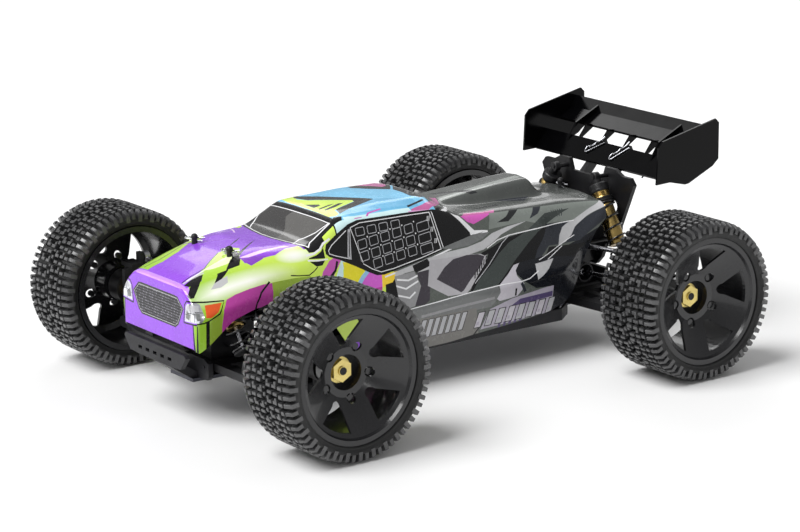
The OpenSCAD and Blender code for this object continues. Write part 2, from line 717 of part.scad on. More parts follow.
// ---------- wing ----------
endplate_outline = [
    [210, 152], [212, 186], [217, 191.5], [281, 205], [285, 201], [285, 167], [278, 161],
    [249, 148.5], [244, 148], [226, 152.5]
];
upper_blade = [[255.5, 177], [271.5, 186], [276, 197], [274, 199], [269.5, 188], [254, 179.5]];
large_rib = [[225, 150], [244.6, 181.5], [276, 196.4], [271.5, 186], [255.5, 177], [241, 168]];
small_rib = [[237, 167], [241, 168], [256, 177.5], [255, 180], [248, 181]];
module rear_wing() {
    half = 98;
    color("#141416") {
        for (s = [0, 1]) mirror([s, 0, 0]) plate_yz(endplate_outline, half - wing_t, half);
        plate_yz([[225, 152], [241, 168], [239.5, 170], [223.5, 154]], -half + wing_t, half - wing_t);
        plate_yz(upper_blade, -half + wing_t, half - wing_t);
        for (x = [-60, 60]) plate_yz(large_rib, x - 1, x + 1);
        for (x = [-48, -16, 16, 48]) plate_yz(small_rib, x - 1, x + 1);
    }
}

wing_post = [
    [213, 128], [213, 140], [228, 155], [241, 168], [246, 171.1], [248, 166], [240, 156], [226, 140]
];
module posts_and_clips() {
    color("#1b1b1d") {
        for (s = [-1, 1]) {
            translate([s * 28, -206, 128.6]) cylinder(r = 2.6, h = 15);
            translate([s * 28, -206, 143.5]) sphere(r = 3);
            plate_yz(wing_post, s * 18 - 3, s * 18 + 3);
        }
        translate([0, 177, 96]) cylinder(r = 2.6, h = 46);
        slab(-3, 3, 177, 209, 96, 101);
        translate([0, 177, 144]) sphere(r = 3);
    }
}

placed() chassis_plate();
placed() guards_and_bumpers();
placed() drive_housings();
placed() shock_towers();
placed() motor();
placed() battery_pack();
placed() electronics();
placed() body_shell();
placed() rear_wing();
placed() posts_and_clips();
placed() corner(true, false) tyre();  // tyre_fl
placed() corner(true, true) tyre();  // tyre_fr
placed() corner(false, false) tyre();  // tyre_rl
placed() corner(false, true) tyre();  // tyre_rr
placed() corner(true, false) rim();  // rim_fl
placed() corner(true, true) rim();  // rim_fr
placed() corner(false, false) rim();  // rim_rl
placed() corner(false, true) rim();  // rim_rr
placed() corner(true, false) axle();  // axle_fl
placed() corner(true, true) axle();  // axle_fr
placed() corner(false, false) axle();  // axle_rl
placed() corner(false, true) axle();  // axle_rr
placed() corner(true, false) knuckle();  // knuckle_fl
placed() corner(true, true) knuckle();  // knuckle_fr
placed() corner(true, false) caster_block();  // caster_fl
placed() corner(true, true) caster_block();  // caster_fr
placed() corner(false, false) rear_hub();  // hub_rl
placed() corner(false, true) rear_hub();  // hub_rr
placed() corner(true, false) lower_arm(shock_foot);  // arm_fl
placed() corner(true, true) lower_arm(shock_foot);  // arm_fr
placed() corner(false, false) lower_arm(rear_shock_foot);  // arm_rl
placed() corner(false, true) lower_arm(rear_shock_foot);  // arm_rr
placed() corner(true, false) upper_link(link_in);  // link_fl
placed() corner(true, true) upper_link(link_in);  // link_fr
placed() corner(false, false) upper_link(rear_link_in);  // link_rl
placed() corner(false, true) upper_link(rear_link_in);  // link_rr
placed() corner(true, false) shock_body(shock_top, shock_foot);  // shock_fl
placed() corner(true, true) shock_body(shock_top, shock_foot);  // shock_fr
placed() corner(false, false) shock_body(rear_shock_top, rear_shock_foot);  // shock_rl
placed() corner(false, true) shock_body(rear_shock_top, rear_shock_foot);  // shock_rr
placed() corner(true, false) shock_rod(shock_top, shock_foot);  // rod_fl
placed() corner(true, true) shock_rod(shock_top, shock_foot);  // rod_fr
placed() corner(false, false) shock_rod(rear_shock_top, rear_shock_foot);  // rod_rl
placed() corner(false, true) shock_rod(rear_shock_top, rear_shock_foot);  // rod_rr
placed() corner(true, false) spring(shock_top, shock_foot, 6);  // spring_fl
placed() corner(true, true) spring(shock_top, shock_foot, 6);  // spring_fr
placed() corner(false, false) spring(rear_shock_top, rear_shock_foot, 8);  // spring_rl
placed() corner(false, true) spring(rear_shock_top, rear_shock_foot, 8);  // spring_rr
placed() corner(true, false) driveshaft();  // driveshaft_fl
placed() corner(true, true) driveshaft();  // driveshaft_fr
placed() corner(false, false) driveshaft();  // driveshaft_rl
placed() corner(false, true) driveshaft();  // driveshaft_rr
placed() track_rod();  // track_rod_l
placed() mirror([1, 0, 0]) track_rod();  // track_rod_r
placed() bellcrank(1);  // bellcrank_l
placed() bellcrank(-1);  // bellcrank_r
placed() steering_plate();
placed() servo_horn();
placed() spur_gear();
placed() pinion();
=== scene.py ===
import math

import bpy
import numpy as np
from mathutils import Matrix, Vector


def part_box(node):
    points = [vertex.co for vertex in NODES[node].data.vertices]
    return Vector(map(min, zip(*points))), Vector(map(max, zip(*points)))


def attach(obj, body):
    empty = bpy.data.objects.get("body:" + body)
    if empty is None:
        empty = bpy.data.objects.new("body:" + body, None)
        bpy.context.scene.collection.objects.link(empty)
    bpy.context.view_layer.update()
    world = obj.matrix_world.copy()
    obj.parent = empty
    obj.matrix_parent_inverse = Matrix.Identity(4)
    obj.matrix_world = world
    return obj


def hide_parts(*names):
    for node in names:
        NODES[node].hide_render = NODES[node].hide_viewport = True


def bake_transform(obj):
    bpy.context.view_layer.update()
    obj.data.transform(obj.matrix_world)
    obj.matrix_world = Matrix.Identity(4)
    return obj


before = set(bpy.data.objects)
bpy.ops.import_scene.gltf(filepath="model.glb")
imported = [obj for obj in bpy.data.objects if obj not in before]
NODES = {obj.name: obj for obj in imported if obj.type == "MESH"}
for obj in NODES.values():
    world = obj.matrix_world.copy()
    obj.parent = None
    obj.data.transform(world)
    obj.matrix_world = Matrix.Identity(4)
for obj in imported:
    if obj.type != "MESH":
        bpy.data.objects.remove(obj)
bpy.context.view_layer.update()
MM = 0.001

# Sizes are in millimetres. The drawing measures y from a datum; the axles lie at -200 and 175 there
AXLE_Z = 72.0
FRONT_Y, REAR_Y = -200.0, 175.0
TYRE_OUT, TYRE_IN = 212.5, 142.5


def centre(node):
    low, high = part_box(node)
    return (low + high) / 2


SHIFT = centre("tyre_rl").y / MM - REAR_Y
CORNERS = {"fl": (True, False), "fr": (True, True), "rl": (False, False), "rr": (False, True)}


def row(p):
    """A drawing point in millimetres as a point of the row frame in metres."""
    return Vector((p[0] * MM, (p[1] + SHIFT) * MM, p[2] * MM))


def corner_point(corner, p):
    """A point of one corner (x outwards, y away from the car's middle) in the row frame."""
    front, right = CORNERS[corner]
    y = FRONT_Y - p[1] if front else REAR_Y + p[1]
    return row((-p[0] if right else p[0], y, p[2]))


def flipped(corner):
    front, right = CORNERS[corner]
    return front != right


def show(name, data):
    """Puts a mesh, a light or a camera into the scene."""
    o = bpy.data.objects.new(name, data)
    bpy.context.scene.collection.objects.link(o)
    return o


# ---------- materials ----------
def srgb(r, g, b):
    """An 8-bit screen colour as linear light."""
    return tuple(
        (c / 255 / 12.92 if c / 255 <= 0.04045 else ((c / 255 + 0.055) / 1.055) ** 2.4) for c in (r, g, b)
    ) + (1.0,)


def shades(colour, vary):
    """A colour a little darker and a little paler than the one given."""
    return (*(c * (1 - vary) for c in colour[:3]), 1.0), (*(min(1.0, c * (1 + vary)) for c in colour[:3]), 1.0)


class Nodes:
    """A small helper for building a material's node tree."""

    def __init__(self, name):
        self.material = bpy.data.materials.new(name)
        self.material.use_nodes = True
        self.tree = self.material.node_tree
        self.shader = self.tree.nodes["Principled BSDF"]
        self.place = self.tree.nodes.new("ShaderNodeTexCoord").outputs["Object"]

    def feed(self, socket, value):
        """Links a socket to another node's output, or sets it to a plain value."""
        if isinstance(value, bpy.types.NodeSocket):
            self.tree.links.new(value, socket)
        else:
            socket.default_value = value

    def add(self, kind, **inputs):
        node = self.tree.nodes.new(kind)
        for key, value in inputs.items():
            self.feed(node.inputs[key], value)
        return node

    def calc(self, kind, *values):
        node = self.tree.nodes.new("ShaderNodeMath")
        node.operation = kind
        for i, value in enumerate(values):
            self.feed(node.inputs[i], value)
        return node.outputs[0]

    def noise(self, scale, detail=3.0, rough=0.55, stretch=None):
        source = self.place
        if stretch is not None:
            source = self.add("ShaderNodeMapping", Vector=source, Scale=stretch).outputs["Vector"]
        node = self.add("ShaderNodeTexNoise", Vector=source, Scale=scale, Detail=detail, Roughness=rough)
        return node.outputs["Fac"]

    def range(self, value, low, high, from_low=0.35, from_high=0.65):
        node = self.add("ShaderNodeMapRange", Value=value)
        node.inputs["From Min"].default_value = from_low
        node.inputs["From Max"].default_value = from_high
        node.inputs["To Min"].default_value = low
        node.inputs["To Max"].default_value = high
        return node.outputs["Result"]

    def mix(self, factor, a, b):
        node = self.tree.nodes.new("ShaderNodeMix")
        node.data_type = "RGBA"
        for index, value in ((0, factor), (6, a), (7, b)):
            self.feed(node.inputs[index], value)
        return node.outputs[2]

    def link(self, value, socket):
        self.tree.links.new(value, self.shader.inputs[socket])

    def put(self, **values):
        """Sets plain values on the shader's own sockets, an underscore standing for a space."""
        for key, value in values.items():
            self.shader.inputs[key.replace("_", " ")].default_value = value

    def bump(self, height, distance):
        node = self.add("ShaderNodeBump", Height=height, Distance=distance, Strength=1.0)
        self.link(node.outputs["Normal"], "Normal")


def plastic(name, colour, rough=0.5, spread=0.06, grain=0.00008, grain_scale=2600.0, coat=0.0, vary=0.18,
            shine=0.4):
    """Moulded plastic: fine grain, slight unevenness of colour and shine."""
    n = Nodes(name)
    n.link(n.mix(n.range(n.noise(38), 0.0, 1.0), *shades(colour, vary)), "Base Color")
    n.put(Coat_Weight=coat, Coat_Roughness=0.06, Specular_IOR_Level=shine)
    n.link(n.range(n.noise(60), rough - spread, rough + spread), "Roughness")
    n.bump(n.noise(grain_scale, 2.0), grain)
    return n.material


def metal(name, colour, rough, spread=0.07, stretch=None):
    """Bare or anodised metal with light machining marks."""
    n = Nodes(name)
    n.link(n.mix(n.range(n.noise(55), 0.0, 1.0), shades(colour, 0.12)[0], colour), "Base Color")
    n.put(Metallic=1.0)
    n.link(n.range(n.noise(90), rough - spread, rough + spread), "Roughness")
    n.bump(n.noise(1400.0, 2.0, 0.5, stretch), 0.00003)
    return n.material


def rubber(name, low, high, rough, shine):
    """Rubber with a trace of dust. The carcass gets a darker copy and the blocks a paler, glossier copy: a painted
    highlight on their tops.
    """
    n = Nodes(name)
    dust = n.range(n.noise(26, 5.0), 0.0, 1.0, 0.42, 0.7)
    n.link(n.mix(dust, (low, low, low * 1.05, 1), (high, high, high * 1.03, 1)), "Base Color")
    n.link(n.range(n.noise(240, 4.0), rough - 0.07, rough + 0.07), "Roughness")
    n.put(Specular_IOR_Level=shine)
    n.bump(n.noise(2200, 3.0), 0.00012)
    return n.material


MAT = {
    "rubber": rubber("tyre_rubber", 0.006, 0.011, 0.5, 0.45),
    # Paler than the carcass rubber: a painted highlight on the tread blocks' tops
    "block": rubber("tread_rubber_painted_highlight", 0.032, 0.07, 0.33, 0.95),
    "rim": plastic("rim_plastic", srgb(34, 34, 36), 0.22, 0.05, 0.00003, 3200, coat=0.35, vary=0.08),
    "arm": plastic("arm_nylon", srgb(30, 30, 32), 0.5),
    "tower": plastic("tower_black", srgb(22, 22, 24), 0.38, 0.05),
    "guard": plastic("guard_plastic", srgb(36, 36, 39), 0.55, 0.05, 0.00015, 1500),
    "housing": plastic("housing_plastic", srgb(34, 34, 37), 0.5),
    "case": plastic("case_plastic", srgb(28, 28, 31), 0.4),
    "wrap": plastic("battery_wrap", srgb(52, 64, 78), 0.34, 0.05, 0.00002),
    "wing": plastic("wing_gloss", srgb(4, 4, 5), 0.16, 0.03, 0.00001, 900, shine=0.14),
    "post": plastic("post_plastic", srgb(20, 20, 22), 0.42),
    "plate": metal("plate_anodised", srgb(84, 85, 92), 0.42, 0.06, stretch=(0.1, 1, 1)),
    "motor": metal("motor_can", srgb(60, 61, 66), 0.36),
    "brass": metal("nut_brass", srgb(222, 202, 128), 0.28, 0.06),
    "gold": metal("gold_anodised", srgb(196, 168, 104), 0.26, 0.06),
    "steel": metal("steel", srgb(196, 197, 202), 0.26),
    "link": metal("link_silver", srgb(188, 188, 193), 0.3),
    "gear": metal("gear_steel", srgb(120, 121, 126), 0.34),
    "spring": plastic("spring_black", srgb(18, 18, 20), 0.28, 0.04, 0.00002, 900, coat=0.5),
}


LOOKS = {
    "rim": "rim", "axle": "brass", "arm": "arm", "link": "link", "driveshaft": "steel", "knuckle": "arm",
    "caster": "arm", "hub": "arm", "chassis_plate": "plate", "guards_and_bumpers": "guard",
    "drive_housings": "housing", "shock_towers": "tower", "motor": "motor", "battery_pack": "wrap",
    "electronics": "case", "rear_wing": "wing", "posts_and_clips": "post", "track_rod": "link",
    "bellcrank": "arm", "steering_plate": "gear", "servo_horn": "arm", "spur_gear": "gear", "pinion": "gold",
}
for name, o in NODES.items():
    stem, _, end = name.rpartition("_")
    look = LOOKS.get(stem if end in (*CORNERS, "l", "r") else name)
    if look:
        o.data.materials.clear()
        o.data.materials.append(MAT[look])


# ---------- meshes ----------
def build(name, points, faces, materials, body, replaces=(), face_materials=None, sharp=35.0):
    """A closed mesh from points in metres; it rides on a body and stands for CAD nodes."""
    mesh = bpy.data.meshes.new(name)
    mesh.from_pydata([tuple(p) for p in points], [], faces)
    for m in materials:
        mesh.materials.append(MAT[m])
    if face_materials is not None:
        mesh.polygons.foreach_set("material_index", face_materials)
    mesh.shade_smooth()
    mesh.update()
    mesh.set_sharp_from_angle(angle=math.radians(sharp))
    o = show(name, mesh)
    if body:
        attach(o, body)
    if replaces:
        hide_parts(*replaces)
    return o


def tube_skin(rings, sides):
    """The quads between neighbouring rings of points, and a cap at each end."""
    faces = []
    for k in range(rings - 1):
        for i in range(sides):
            m = (i + 1) % sides
            faces.append((k * sides + i, k * sides + m, (k + 1) * sides + m, (k + 1) * sides + i))
    faces.append(tuple(reversed(range(sides))))
    faces.append(tuple((rings - 1) * sides + i for i in range(sides)))
    return faces


def revolve(profile, steps):
    """Points [radius, x] of a closed outline turned about the x axis: points and quads."""
    points, faces, n = [], [], len(profile)
    for i in range(steps):
        a = 2 * math.pi * i / steps
        points += [(x, r * math.cos(a), r * math.sin(a)) for r, x in profile]
    for i in range(steps):
        j = (i + 1) % steps
        faces += [(i * n + k, i * n + (k + 1) % n, j * n + (k + 1) % n, j * n + k) for k in range(n)]
    return points, faces


# ---------- tyres ----------
PITCHES = 32
TREAD_BASE = 66.0
TREAD_TOP = 72.0
CHAMFER = 0.45
# Blocks of one half of the tread in one pitch: from and to across the tyre, from and to along it
BLOCKS = (
    (3.2, 9.0, 0.0, 3.0), (3.2, 5.8, 3.0, 6.0), (11.6, 17.0, 0.4, 3.4), (14.4, 17.0, 3.4, 6.2),
    (19.6, 25.2, 0.2, 3.2), (4.8, 10.6, 8.4, 11.2), (13.0, 18.6, 8.2, 11.0), (20.8, 25.2, 6.8, 10.2),
    (27.4, 34.5, 0.4, 4.2), (27.4, 33.8, 7.4, 10.8),
)


def crown(dx):
    """Outer radius of the tread blocks this far from the tyre's middle."""
    over = max(0.0, abs(dx) - 27.0)
    return TREAD_TOP - 0.06 * over - 0.045 * over * over


def tyre_geometry():
    mid = (TYRE_OUT + TYRE_IN) / 2
    side = [(54, 25.5), (57.3, 28.5), (57.35, 32.6), (58.2, 33.3), (59.2, 33.2), (60.0, 33.7), (62.4, 34.4),
            (63.4, 34.4), (64.4, 33.6), (65.1, 32.0), (65.7, 29.5), (TREAD_BASE, 26)]
    profile = [(r, mid + d) for r, d in side] + [(TREAD_BASE + 0.1, mid)]
    profile += [(r, mid - d) for r, d in reversed(side)]
    points, faces = revolve(profile, 128)
    carcass_faces = len(faces)

    def block(x0, x1, t0, t1, pitch):
        """One chamfered rubber block between x0 and x1, t0 and t1 mm along the tread."""
        parts = max(1, int((x1 - x0) / 6 + 0.5))
        start = 360.0 / PITCHES * pitch
        per_mm = 360.0 / (2 * math.pi * TREAD_TOP)
        first = len(points)
        xs = [x0 + (x1 - x0) * k / parts for k in range(parts + 1)]
        rings = []
        for level in range(3):
            ring = []
            cut = 0.0 if level < 2 else CHAMFER
            grow = 0.35 if level == 0 else 0.0
            low, high = t0 - grow + cut, t1 + grow - cut
            row_x = [min(max(x, x0 - grow + cut), x1 + grow - cut) for x in xs]
            row_x[0], row_x[-1] = x0 - grow + cut, x1 + grow - cut
            for x, t in [(x, low) for x in row_x] + [(x, high) for x in reversed(row_x)]:
                if level == 0:
                    r = TREAD_BASE - 0.9 - 0.5 * max(0.0, abs(x) - 28)
                else:
                    r = crown(x) - (CHAMFER if level == 1 else 0.0)
                a = math.radians(start + t * per_mm)
                ring.append((mid + x, r * math.cos(a), r * math.sin(a)))
            rings.append(ring)
        n = len(rings[0])
        for ring in rings:
            points.extend(ring)
        for level in range(2):
            for k in range(n):
                a, b = first + level * n + k, first + level * n + (k + 1) % n
                faces.append((a, b, b + n, a + n))
        for level, turn in ((0, True), (2, False)):
            for k in range(parts):
                quad = [first + level * n + i for i in (k, k + 1, n - 2 - k, n - 1 - k)]
                faces.append(tuple(reversed(quad)) if turn else tuple(quad))

    step = 2 * math.pi * TREAD_TOP / PITCHES
    for pitch in range(PITCHES):
        for s in (1, -1):
            off = 0.0 if s > 0 else step / 2
            for low, high, start, end in BLOCKS:
                block(min(s * low, s * high), max(s * low, s * high), start + off, end + off, pitch)
        block(-1.5, 1.5, 4.4, 7.8, pitch)
        block(-1.3, 1.3, 11.2, 13.2, pitch)
    return points, faces, [0 if k < carcass_faces else 1 for k in range(len(faces))]


tyre_points, tyre_faces, tyre_rubbers = tyre_geometry()
for key in CORNERS:
    pts = [corner_point(key, (x, y, z + AXLE_Z)) for x, y, z in tyre_points]
    fcs = [tuple(reversed(f)) for f in tyre_faces] if flipped(key) else tyre_faces
    build("tyre_tread_" + key, pts, fcs, ["rubber", "block"], "wheel_" + key, ["tyre_" + key],
          tyre_rubbers, 40)


# ---------- springs ----------
SHOCKS = {"fl": ((26, 126), (78, 54), 6), "rl": ((29, 150), (84, 54), 8)}
SHOCK_V = 20.0
COLLAR = 25.0                              # from the eye to the end of the collar
FOOT_SEAT = 15.2                           # from the foot to the spring's lower seat
BODY_SHARE = 0.6                           # of a shock's length, taken by its body


def shock_frame(key):
    """The shock's top eye, its direction to the foot and its length, in corner millimetres."""
    top_eye, foot, turns = SHOCKS[key[0] + "l"]
    a, b = Vector((top_eye[0], SHOCK_V, top_eye[1])), Vector((foot[0], SHOCK_V, foot[1]))
    return a, (b - a).normalized(), (b - a).length, turns


def spring_geometry(start, along, length, turns):
    """A round wire wound along a line, with its end turns closed up."""
    radius, wire = 9.0, 1.0
    across = Vector((0, 1, 0))
    other = along.cross(across)
    steps, sides = 40, 10
    count = int(turns * steps)
    end_rise = 1.1 * wire
    points = []
    for k in range(count + 1):
        u = k / steps
        if u < 1:
            h = end_rise * u
        elif u > turns - 1:
            h = length - 2 * wire - end_rise * (turns - u)
        else:
            h = end_rise + (length - 2 * wire - 2 * end_rise) * (u - 1) / (turns - 2)
        a = 2 * math.pi * u
        out = across * math.cos(a) + other * math.sin(a)
        centre_point = start + along * (h + wire) + out * radius
        for i in range(sides):
            b = 2 * math.pi * i / sides
            points.append(centre_point + out * (wire * math.cos(b)) + along * (wire * math.sin(b)))
    return points, tube_skin(count + 1, sides)


def lathe(origin, axis, profile, steps=48):
    """A closed solid turned about a line; the profile gives (distance along it, radius)."""
    axis = Vector(axis).normalized()
    across = axis.cross(Vector((0, 1, 0)))
    if across.length < 0.1:
        across = axis.cross(Vector((0, 0, 1)))
    across.normalize()
    other = axis.cross(across)
    points = []
    for d, r in profile:
        for k in range(steps):
            a = 2 * math.pi * k / steps
            points.append(origin + axis * d + (across * math.cos(a) + other * math.sin(a)) * r)
    return points, tube_skin(len(profile), steps)


def merged(parts):
    """Joins (points, faces, material number) lists into one mesh's lists."""
    points, faces, numbers = [], [], []
    for pts, fcs, number in parts:
        first = len(points)
        points += pts
        faces += [tuple(k + first for k in f) for f in fcs]
        numbers += [number] * len(fcs)
    return points, faces, numbers


def at_corner(name, key, parts, materials, body, replaces=()):
    """Builds a piece drawn in corner millimetres at one of the four corners."""
    points, faces, numbers = merged(parts)
    if flipped(key):
        faces = [tuple(reversed(f)) for f in faces]
    return build(name + "_" + key, [corner_point(key, p) for p in points], faces, materials, body,
                 replaces, numbers)


def shock_parts(eye, along, length):
    """The damper's body with its threads, cap, upper loop and collar."""
    bottom = length * BODY_SHARE
    threads = [(16.0 + 1.1 * k + d, r) for k in range(4) for d, r in ((0, 7.8), (0.55, 7.45))]
    body = lathe(eye, along, [
        (14, 0.5), (14, 7.6), *threads, (20.6, 7.8), (bottom - 4.2, 7.8), (bottom - 3.6, 7.3), (bottom - 3, 7.8),
        (bottom - 0.5, 7.8), (bottom, 7.2), (bottom, 0.5),
    ])
    grip = [(8.6 + 0.9 * k + d, r) for k in range(5) for d, r in ((0, 9.0), (0.45, 8.75))]
    cap = lathe(eye, along, [
        (3, 0.5), (3, 4), (7, 4), (7.2, 7.8), (8, 8.8), *grip, (13.6, 9), (15, 8.6), (15, 0.5),
    ])
    loop = lathe(eye - Vector((0, 3, 0)), (0, 1, 0), [
        (0, 2.05), (0, 4.2), (0.4, 4.6), (5.6, 4.6), (6, 4.2), (6, 2.05),
    ])
    collar = lathe(eye, along, [
        (21, 7.9), (21, 9.1), (21.4, 9.5), (22.6, 9.5), (22.8, 9.2), (23.2, 9.2), (23.4, 9.5), (24.6, 9.5),
        (COLLAR, 9.1), (COLLAR, 7.9),
    ])
    return [(*body, 0), (*cap, 1), (*loop, 1), (*collar, 1)]


def rod_parts(eye, along, length):
    """The rod with its spring seat and lower loop."""
    bottom = length * BODY_SHARE
    shaft = lathe(eye, along, [
        (bottom * 0.95, 1.2), (bottom * 0.95, 1.5), (length - 6.5, 1.5), (length - 6.5, 1.2),
    ], 24)
    seat = lathe(eye, along, [(length - d, r) for d, r in (
        (15, 1.7), (15, 8.8), (14.6, 9.4), (13.6, 9.4), (13, 8.6), (12.6, 4.6), (11, 2.7), (3, 2.7), (3, 1.7),
    )])
    foot = eye + along * length
    loop = lathe(foot - Vector((0, 2.5, 0)), (0, 1, 0), [
        (0, 2.4), (0, 3.9), (0.3, 4.2), (4.7, 4.2), (5, 3.9), (5, 2.4),
    ])
    return [(*shaft, 0), (*seat, 1), (*loop, 1)]


for key in CORNERS:
    eye, along, length, turns = shock_frame(key)
    at_corner("damper", key, shock_parts(eye, along, length), ["gold", "tower"],
              "shock_" + key, ["shock_" + key])
    at_corner("damper_rod", key, rod_parts(eye, along, length), ["steel", "tower"],
              "shock_rod_" + key, ["rod_" + key])
    seat, foot_seat = eye + along * (COLLAR + 0.1), eye + along * (length - FOOT_SEAT)
    pts, fcs = spring_geometry(seat, along, (foot_seat - seat).length, turns + 0.5)
    if not flipped(key):
        fcs = [tuple(reversed(f)) for f in fcs]
    o = build("coil_" + key, [corner_point(key, p) for p in pts], fcs, ["spring"], None, sharp=60)
    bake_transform(o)
    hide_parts("spring_" + key)


# ---------- clips and nuts ----------
def tube(path, radius, sides=8):
    """A closed round wire along a path of points."""
    path = [Vector(p) for p in path]
    points = []
    hint = Vector((0.13, 0.21, 1)).normalized()
    for k, p in enumerate(path):
        run = (path[min(k + 1, len(path) - 1)] - path[max(k - 1, 0)]).normalized()
        a = run.cross(hint).normalized()
        b = run.cross(a)
        for i in range(sides):
            t = 2 * math.pi * i / sides
            points.append(p + (a * math.cos(t) + b * math.sin(t)) * radius)
    return points, [(f[0], *reversed(f[1:])) for f in tube_skin(len(path), sides)]


def clip_path(place, turn, slope):
    """A spring clip: a straight leg, a loop at its back and a waved leg beside it."""
    flat = [(8.5, 0), (4, 0), (0, 0), (-4, 0), (-6.5, 0)]
    flat += [(-8.6 + 2.3 * math.sin(a), 1.7 - 2.3 * math.cos(a) + 0.25) for a in
             (math.radians(d) for d in (20, -20, -60, -100, -140, -180, -220, -260))]
    flat += [(-5, 2.6), (-2.4, 2.2), (-1.2, 2.9), (0, 3.3), (1.2, 2.9), (2.6, 2.1), (5.2, 2.7), (8, 4.2)]
    c, d = math.cos(turn), math.sin(turn)
    return [(place[0] + x * c - y * d, place[1] + x * d + y * c, place[2] + 0.1 * k + slope * (x * d + y * c))
            for k, (x, y) in enumerate(flat)]


CLIPS = (
    ((28, -206, 140.6), 0.25, 0), ((-28, -206, 140.6), 0.4, 0), ((0, 177, 139.4), -0.3, 0),
    ((19, 233.5, 165.2), 0.75, 1), ((-17, 233.5, 165.2), 0.6, 1),
)
for k, (place, turn, slope) in enumerate(CLIPS):
    pts, fcs = tube(clip_path(place, turn, slope), 0.7)
    build("body_clip_%d" % k, [row(p) for p in pts], fcs, ["steel"], "chassis", sharp=60)

for key in CORNERS:
    ring = lathe(Vector((186, 0, AXLE_Z)), (1, 0, 0), [
        (-0.3, 0.4), (-0.3, 3.3), (0.25, 3.3), (0.4, 3.0), (0.4, 2.1), (0.1, 1.8), (0.1, 0.4),
    ])
    at_corner("nut_centre", key, [(*ring, 0)], ["tower"], "wheel_" + key)


# ---------- painted body shell ----------
def clear_coat(n, rough, coat=0.45):
    """A clear skin over the paint, with fine dust marks."""
    n.put(Coat_Weight=coat, Coat_Roughness=0.05, Specular_IOR_Level=0.3)
    n.link(n.range(n.noise(160, 3.0), rough - 0.04, rough + 0.06), "Roughness")
    n.bump(n.noise(70, 2.0), 0.00006)
    return n.material


def lacquer(name, colour, rough=0.24, coat=0.45, vary=0.05, metallic=0.0):
    """Gloss paint with a trace of unevenness."""
    n = Nodes(name)
    n.link(n.mix(n.range(n.noise(45, 4.0), 0.0, 1.0), *shades(colour, vary)), "Base Color")
    n.put(Metallic=metallic)
    return clear_coat(n, rough, coat)


def lime_lacquer():
    """Lime paint that brightens towards the cowl, with a soft white streak along the fender."""
    n = Nodes("paint_lime")
    calc = n.calc
    split = n.add("ShaderNodeSeparateXYZ", Vector=n.place)
    y = calc("SUBTRACT", calc("MULTIPLY", split.outputs["Y"], 1000.0), SHIFT)
    z = calc("MULTIPLY", split.outputs["Z"], 1000.0)
    along = calc("ADD", y, 220.0)
    curve = calc("ADD", calc("MULTIPLY", calc("MULTIPLY", along, along), -0.0016), calc("MULTIPLY", along, 0.175))
    off = calc("DIVIDE", calc("ABSOLUTE", calc("SUBTRACT", z, calc("ADD", curve, 120.0))), 8.5)
    streak = calc("POWER", calc("MAXIMUM", calc("SUBTRACT", 1.0, off), 0.0), 0.9)
    fade = calc("MULTIPLY", n.range(y, 0.0, 1.0, -264.0, -238.0), n.range(y, 1.0, 0.0, -205.0, -158.0))
    a = calc("DIVIDE", calc("ADD", y, 158.0), 19.0)
    b = calc("DIVIDE", calc("SUBTRACT", z, 135.5), 5.5)
    spot = calc("MAXIMUM", calc("SUBTRACT", 1.0, calc("ADD", calc("MULTIPLY", a, a), calc("MULTIPLY", b, b))), 0.0)
    glow = calc("MINIMUM", calc("ADD", calc("MULTIPLY", streak, fade), spot), 1.0)
    base = n.mix(n.range(y, 0.0, 1.0, -255.0, -165.0), srgb(150, 196, 52), srgb(214, 243, 100))
    n.link(n.mix(glow, base, srgb(252, 253, 244)), "Base Color")
    return clear_coat(n, 0.22)


def grille_mesh():
    """Printed mesh: rows of small pale dots on charcoal."""
    n = Nodes("grille_mesh")
    flat = n.add("ShaderNodeMapping", Vector=n.place, Scale=(1, 0.05, 1)).outputs["Vector"]
    cell = n.add("ShaderNodeTexVoronoi", Vector=flat, Scale=420.0, Randomness=0.12)
    dot = n.range(cell.outputs["Distance"], 1.0, 0.0, 0.3, 0.46)
    n.link(n.mix(dot, srgb(24, 23, 27), srgb(150, 148, 158)), "Base Color")
    n.put(Roughness=0.4)
    n.bump(cell.outputs["Distance"], 0.0004)
    return n.material


PAINTS = {
    # purple_painted_highlight is a paler purple painted where light catches the rounded front edge of the bonnet
    "purple": (146, 76, 218), "purple_painted_highlight": (196, 140, 246), "purple_deep": (134, 70, 190),
    "plum": (104, 46, 88),
    "magenta": (184, 66, 158), "orchid": (206, 96, 188), "orchid_pale": (230, 178, 222), "pink": (218, 98, 190),
    "rose": (200, 108, 164), "pink_pale": (238, 200, 252), "lime_low": (150, 178, 62), "lime_pale": (238, 248, 196),
    "ice": (216, 246, 248), "ice_blue": (156, 204, 238), "sky": (126, 200, 238), "sky_deep": (108, 182, 222),
    "yellow": (244, 232, 52), "amber_yellow": (250, 214, 62), "ink": (14, 14, 16), "soft_black": (34, 36, 38),
    "glass_dark": (58, 57, 57), "glass_pale": (92, 91, 89), "white": (240, 240, 242), "silver": (186, 186, 190),
    "grey_pale": (192, 192, 194), "grey_mid": (116, 118, 118), "grey_green": (92, 97, 92), "band": (64, 70, 68),
    "orchid_warm": (217, 102, 212), "ash": (150, 150, 152), "grey_warm": (180, 178, 182), "mist": (198, 194, 202),
    "mist_green": (145, 150, 146), "dusk": (128, 134, 129), "plum_grey": (66, 62, 69), "slate": (46, 49, 56),
    "navy": (23, 25, 31), "lavender": (176, 170, 184), "violet_dark": (84, 72, 112), "olive": (120, 118, 114),
    "deck": (80, 83, 81), "amber": (226, 92, 40),
}
for paint_name, rgb in PAINTS.items():
    MAT[paint_name] = lacquer("paint_" + paint_name, srgb(*rgb))
MAT["lime"] = lime_lacquer()
MAT["grille"] = grille_mesh()
MAT["lamp"] = lacquer("lamp_chrome", srgb(222, 224, 230), 0.12, 0.6, 0.12, 0.7)
MAT["shell_inside"] = plastic("shell_inside", srgb(30, 30, 32), 0.35)

